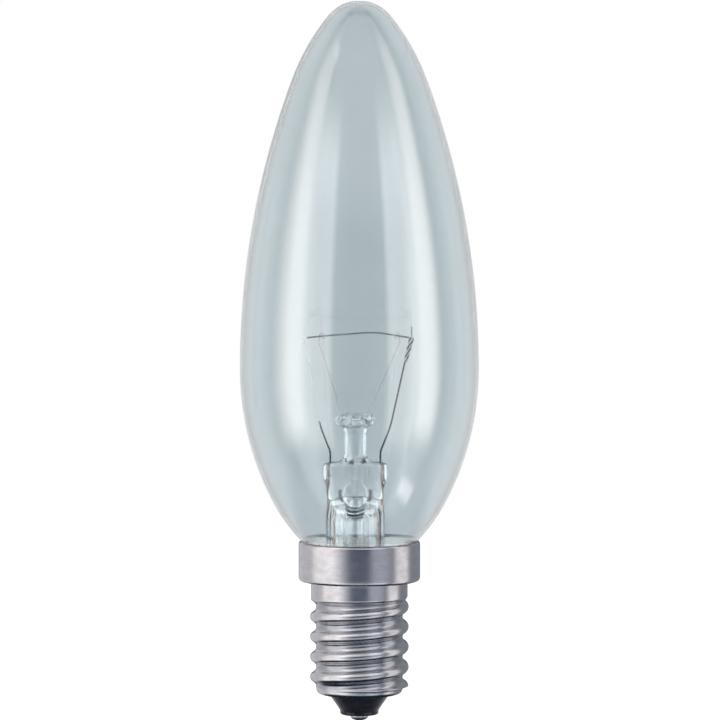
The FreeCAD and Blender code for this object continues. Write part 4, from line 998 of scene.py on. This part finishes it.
def domeFinish(name, depth, least):
    # light of the mesh's own glow, and clear but for its cover, for rays past that depth
    finish = Finish(name)
    seen = finish.math("GREATER_THAN", finish.add("ShaderNodeLightPath").outputs[depth], least)
    glow = finish.add("ShaderNodeAttribute", attribute_name="glow")
    cover = finish.add("ShaderNodeAttribute", attribute_name="cover")
    emission = finish.add("ShaderNodeEmission")
    finish.join(glow.outputs["Color"], emission.inputs["Color"])
    finish.join(seen, emission.inputs["Strength"])
    clear = finish.add("ShaderNodeBsdfTransparent")
    hidden = finish.math("MULTIPLY", seen, cover.outputs["Fac"])
    finish.join(finish.math("SUBTRACT", 1.0, hidden), clear.inputs["Color"])
    finish.addUp(clear, emission)
    finish.nodes.remove(finish.shader)
    return finish.material


def litGroup(name, pieces):
    # the pieces that a set of cards or lamps lights
    group = bpy.data.collections.new(name)
    for piece in pieces:
        group.objects.link(piece)
    return group


def addLamp(name, round, rise, size, tone, lit=None):
    # A soft lamp, degrees round from the front and up from the horizon, looking at a point
    # over the cap. Its power is tone * pi * pi * size^2 / 4, so that tone is what it looks
    # like head on. One with a group lights the glints of that group alone.
    lamp = bpy.data.lights.new(name, "AREA")
    lamp.shape = "DISK"
    lamp.size = size
    lamp.energy = tone * (math.pi * size) ** 2 / 4
    piece = inScene(name, lamp)
    turn, up = math.radians(round), math.radians(rise)
    away = studio["lampDistance"]
    piece.location = (away * math.sin(turn) * math.cos(up), -away * math.cos(turn) * math.cos(up),
                      studio["lampAim"] + away * math.sin(up))
    piece.rotation_euler = (math.pi / 2 - up, 0, turn)
    if lit:
        lamp.cycles.use_multiple_importance_sampling = False
        piece.light_linking.receiver_collection = lit
    else:
        piece.visible_glossy = False
        piece.visible_transmission = False


makeWorld()
makeFloor()
clearPieces = [bpy.data.objects[name] for name in ("glassEnvelope", "glassMount", "exhaustTube")]
for piece in clearPieces:
    piece.visible_shadow = False  # the lamps light what stands in the clear glass
metalPieces = [bpy.data.objects[name] for name in ("capShell", "contactDome")]
metalPieces.append(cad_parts["contact_plate"])
otherPieces = [piece for piece in bpy.data.objects
               if piece.type == "MESH" and piece not in metalPieces and piece.name != "insulator"]
addDome("tent", tent, studio["tentDistance"])
addDome("glassCards", glassCards, studio["cardDistance"], lit=litGroup("glassLit", otherPieces))
addDome("capCards", capCards, studio["cardDistance"] - studio["cardStep"],
        lit=litGroup("capLit", metalPieces))
addDome("mountCards", mountCards, studio["cardDistance"] - 2 * studio["cardStep"], deepInGlass)
addLamp("leftLamp", -60, 24, 0.5, 10.0)
addLamp("rightLamp", 58, 24, 0.4, 15.0)
mountLit = litGroup("mountLit", clearPieces[1:])
for name, glint in glints.items():
    addLamp(name, lit=mountLit, **glint)

camera = dict(distance=600.0, height=88.0, aim=50.5, side=0.09, lens=215.8, sensor=36.0)


def makeCamera():
    # the photo's view: upright, in front, looking a little down
    c = camera
    data = bpy.data.cameras.new("photoCamera")
    data.lens = c["lens"]
    data.sensor_width = c["sensor"]
    data.clip_start = 0.01
    piece = inScene("photoCamera", data)
    piece.location = (c["side"] * mm, -c["distance"] * mm, c["height"] * mm)
    pitch = math.atan2(c["height"] - c["aim"], c["distance"])
    piece.rotation_euler = (math.pi / 2 - pitch, 0, 0)
    bpy.context.scene.camera = piece


makeCamera()
bpy.context.scene.view_settings.view_transform = "Standard"
print("studio set")
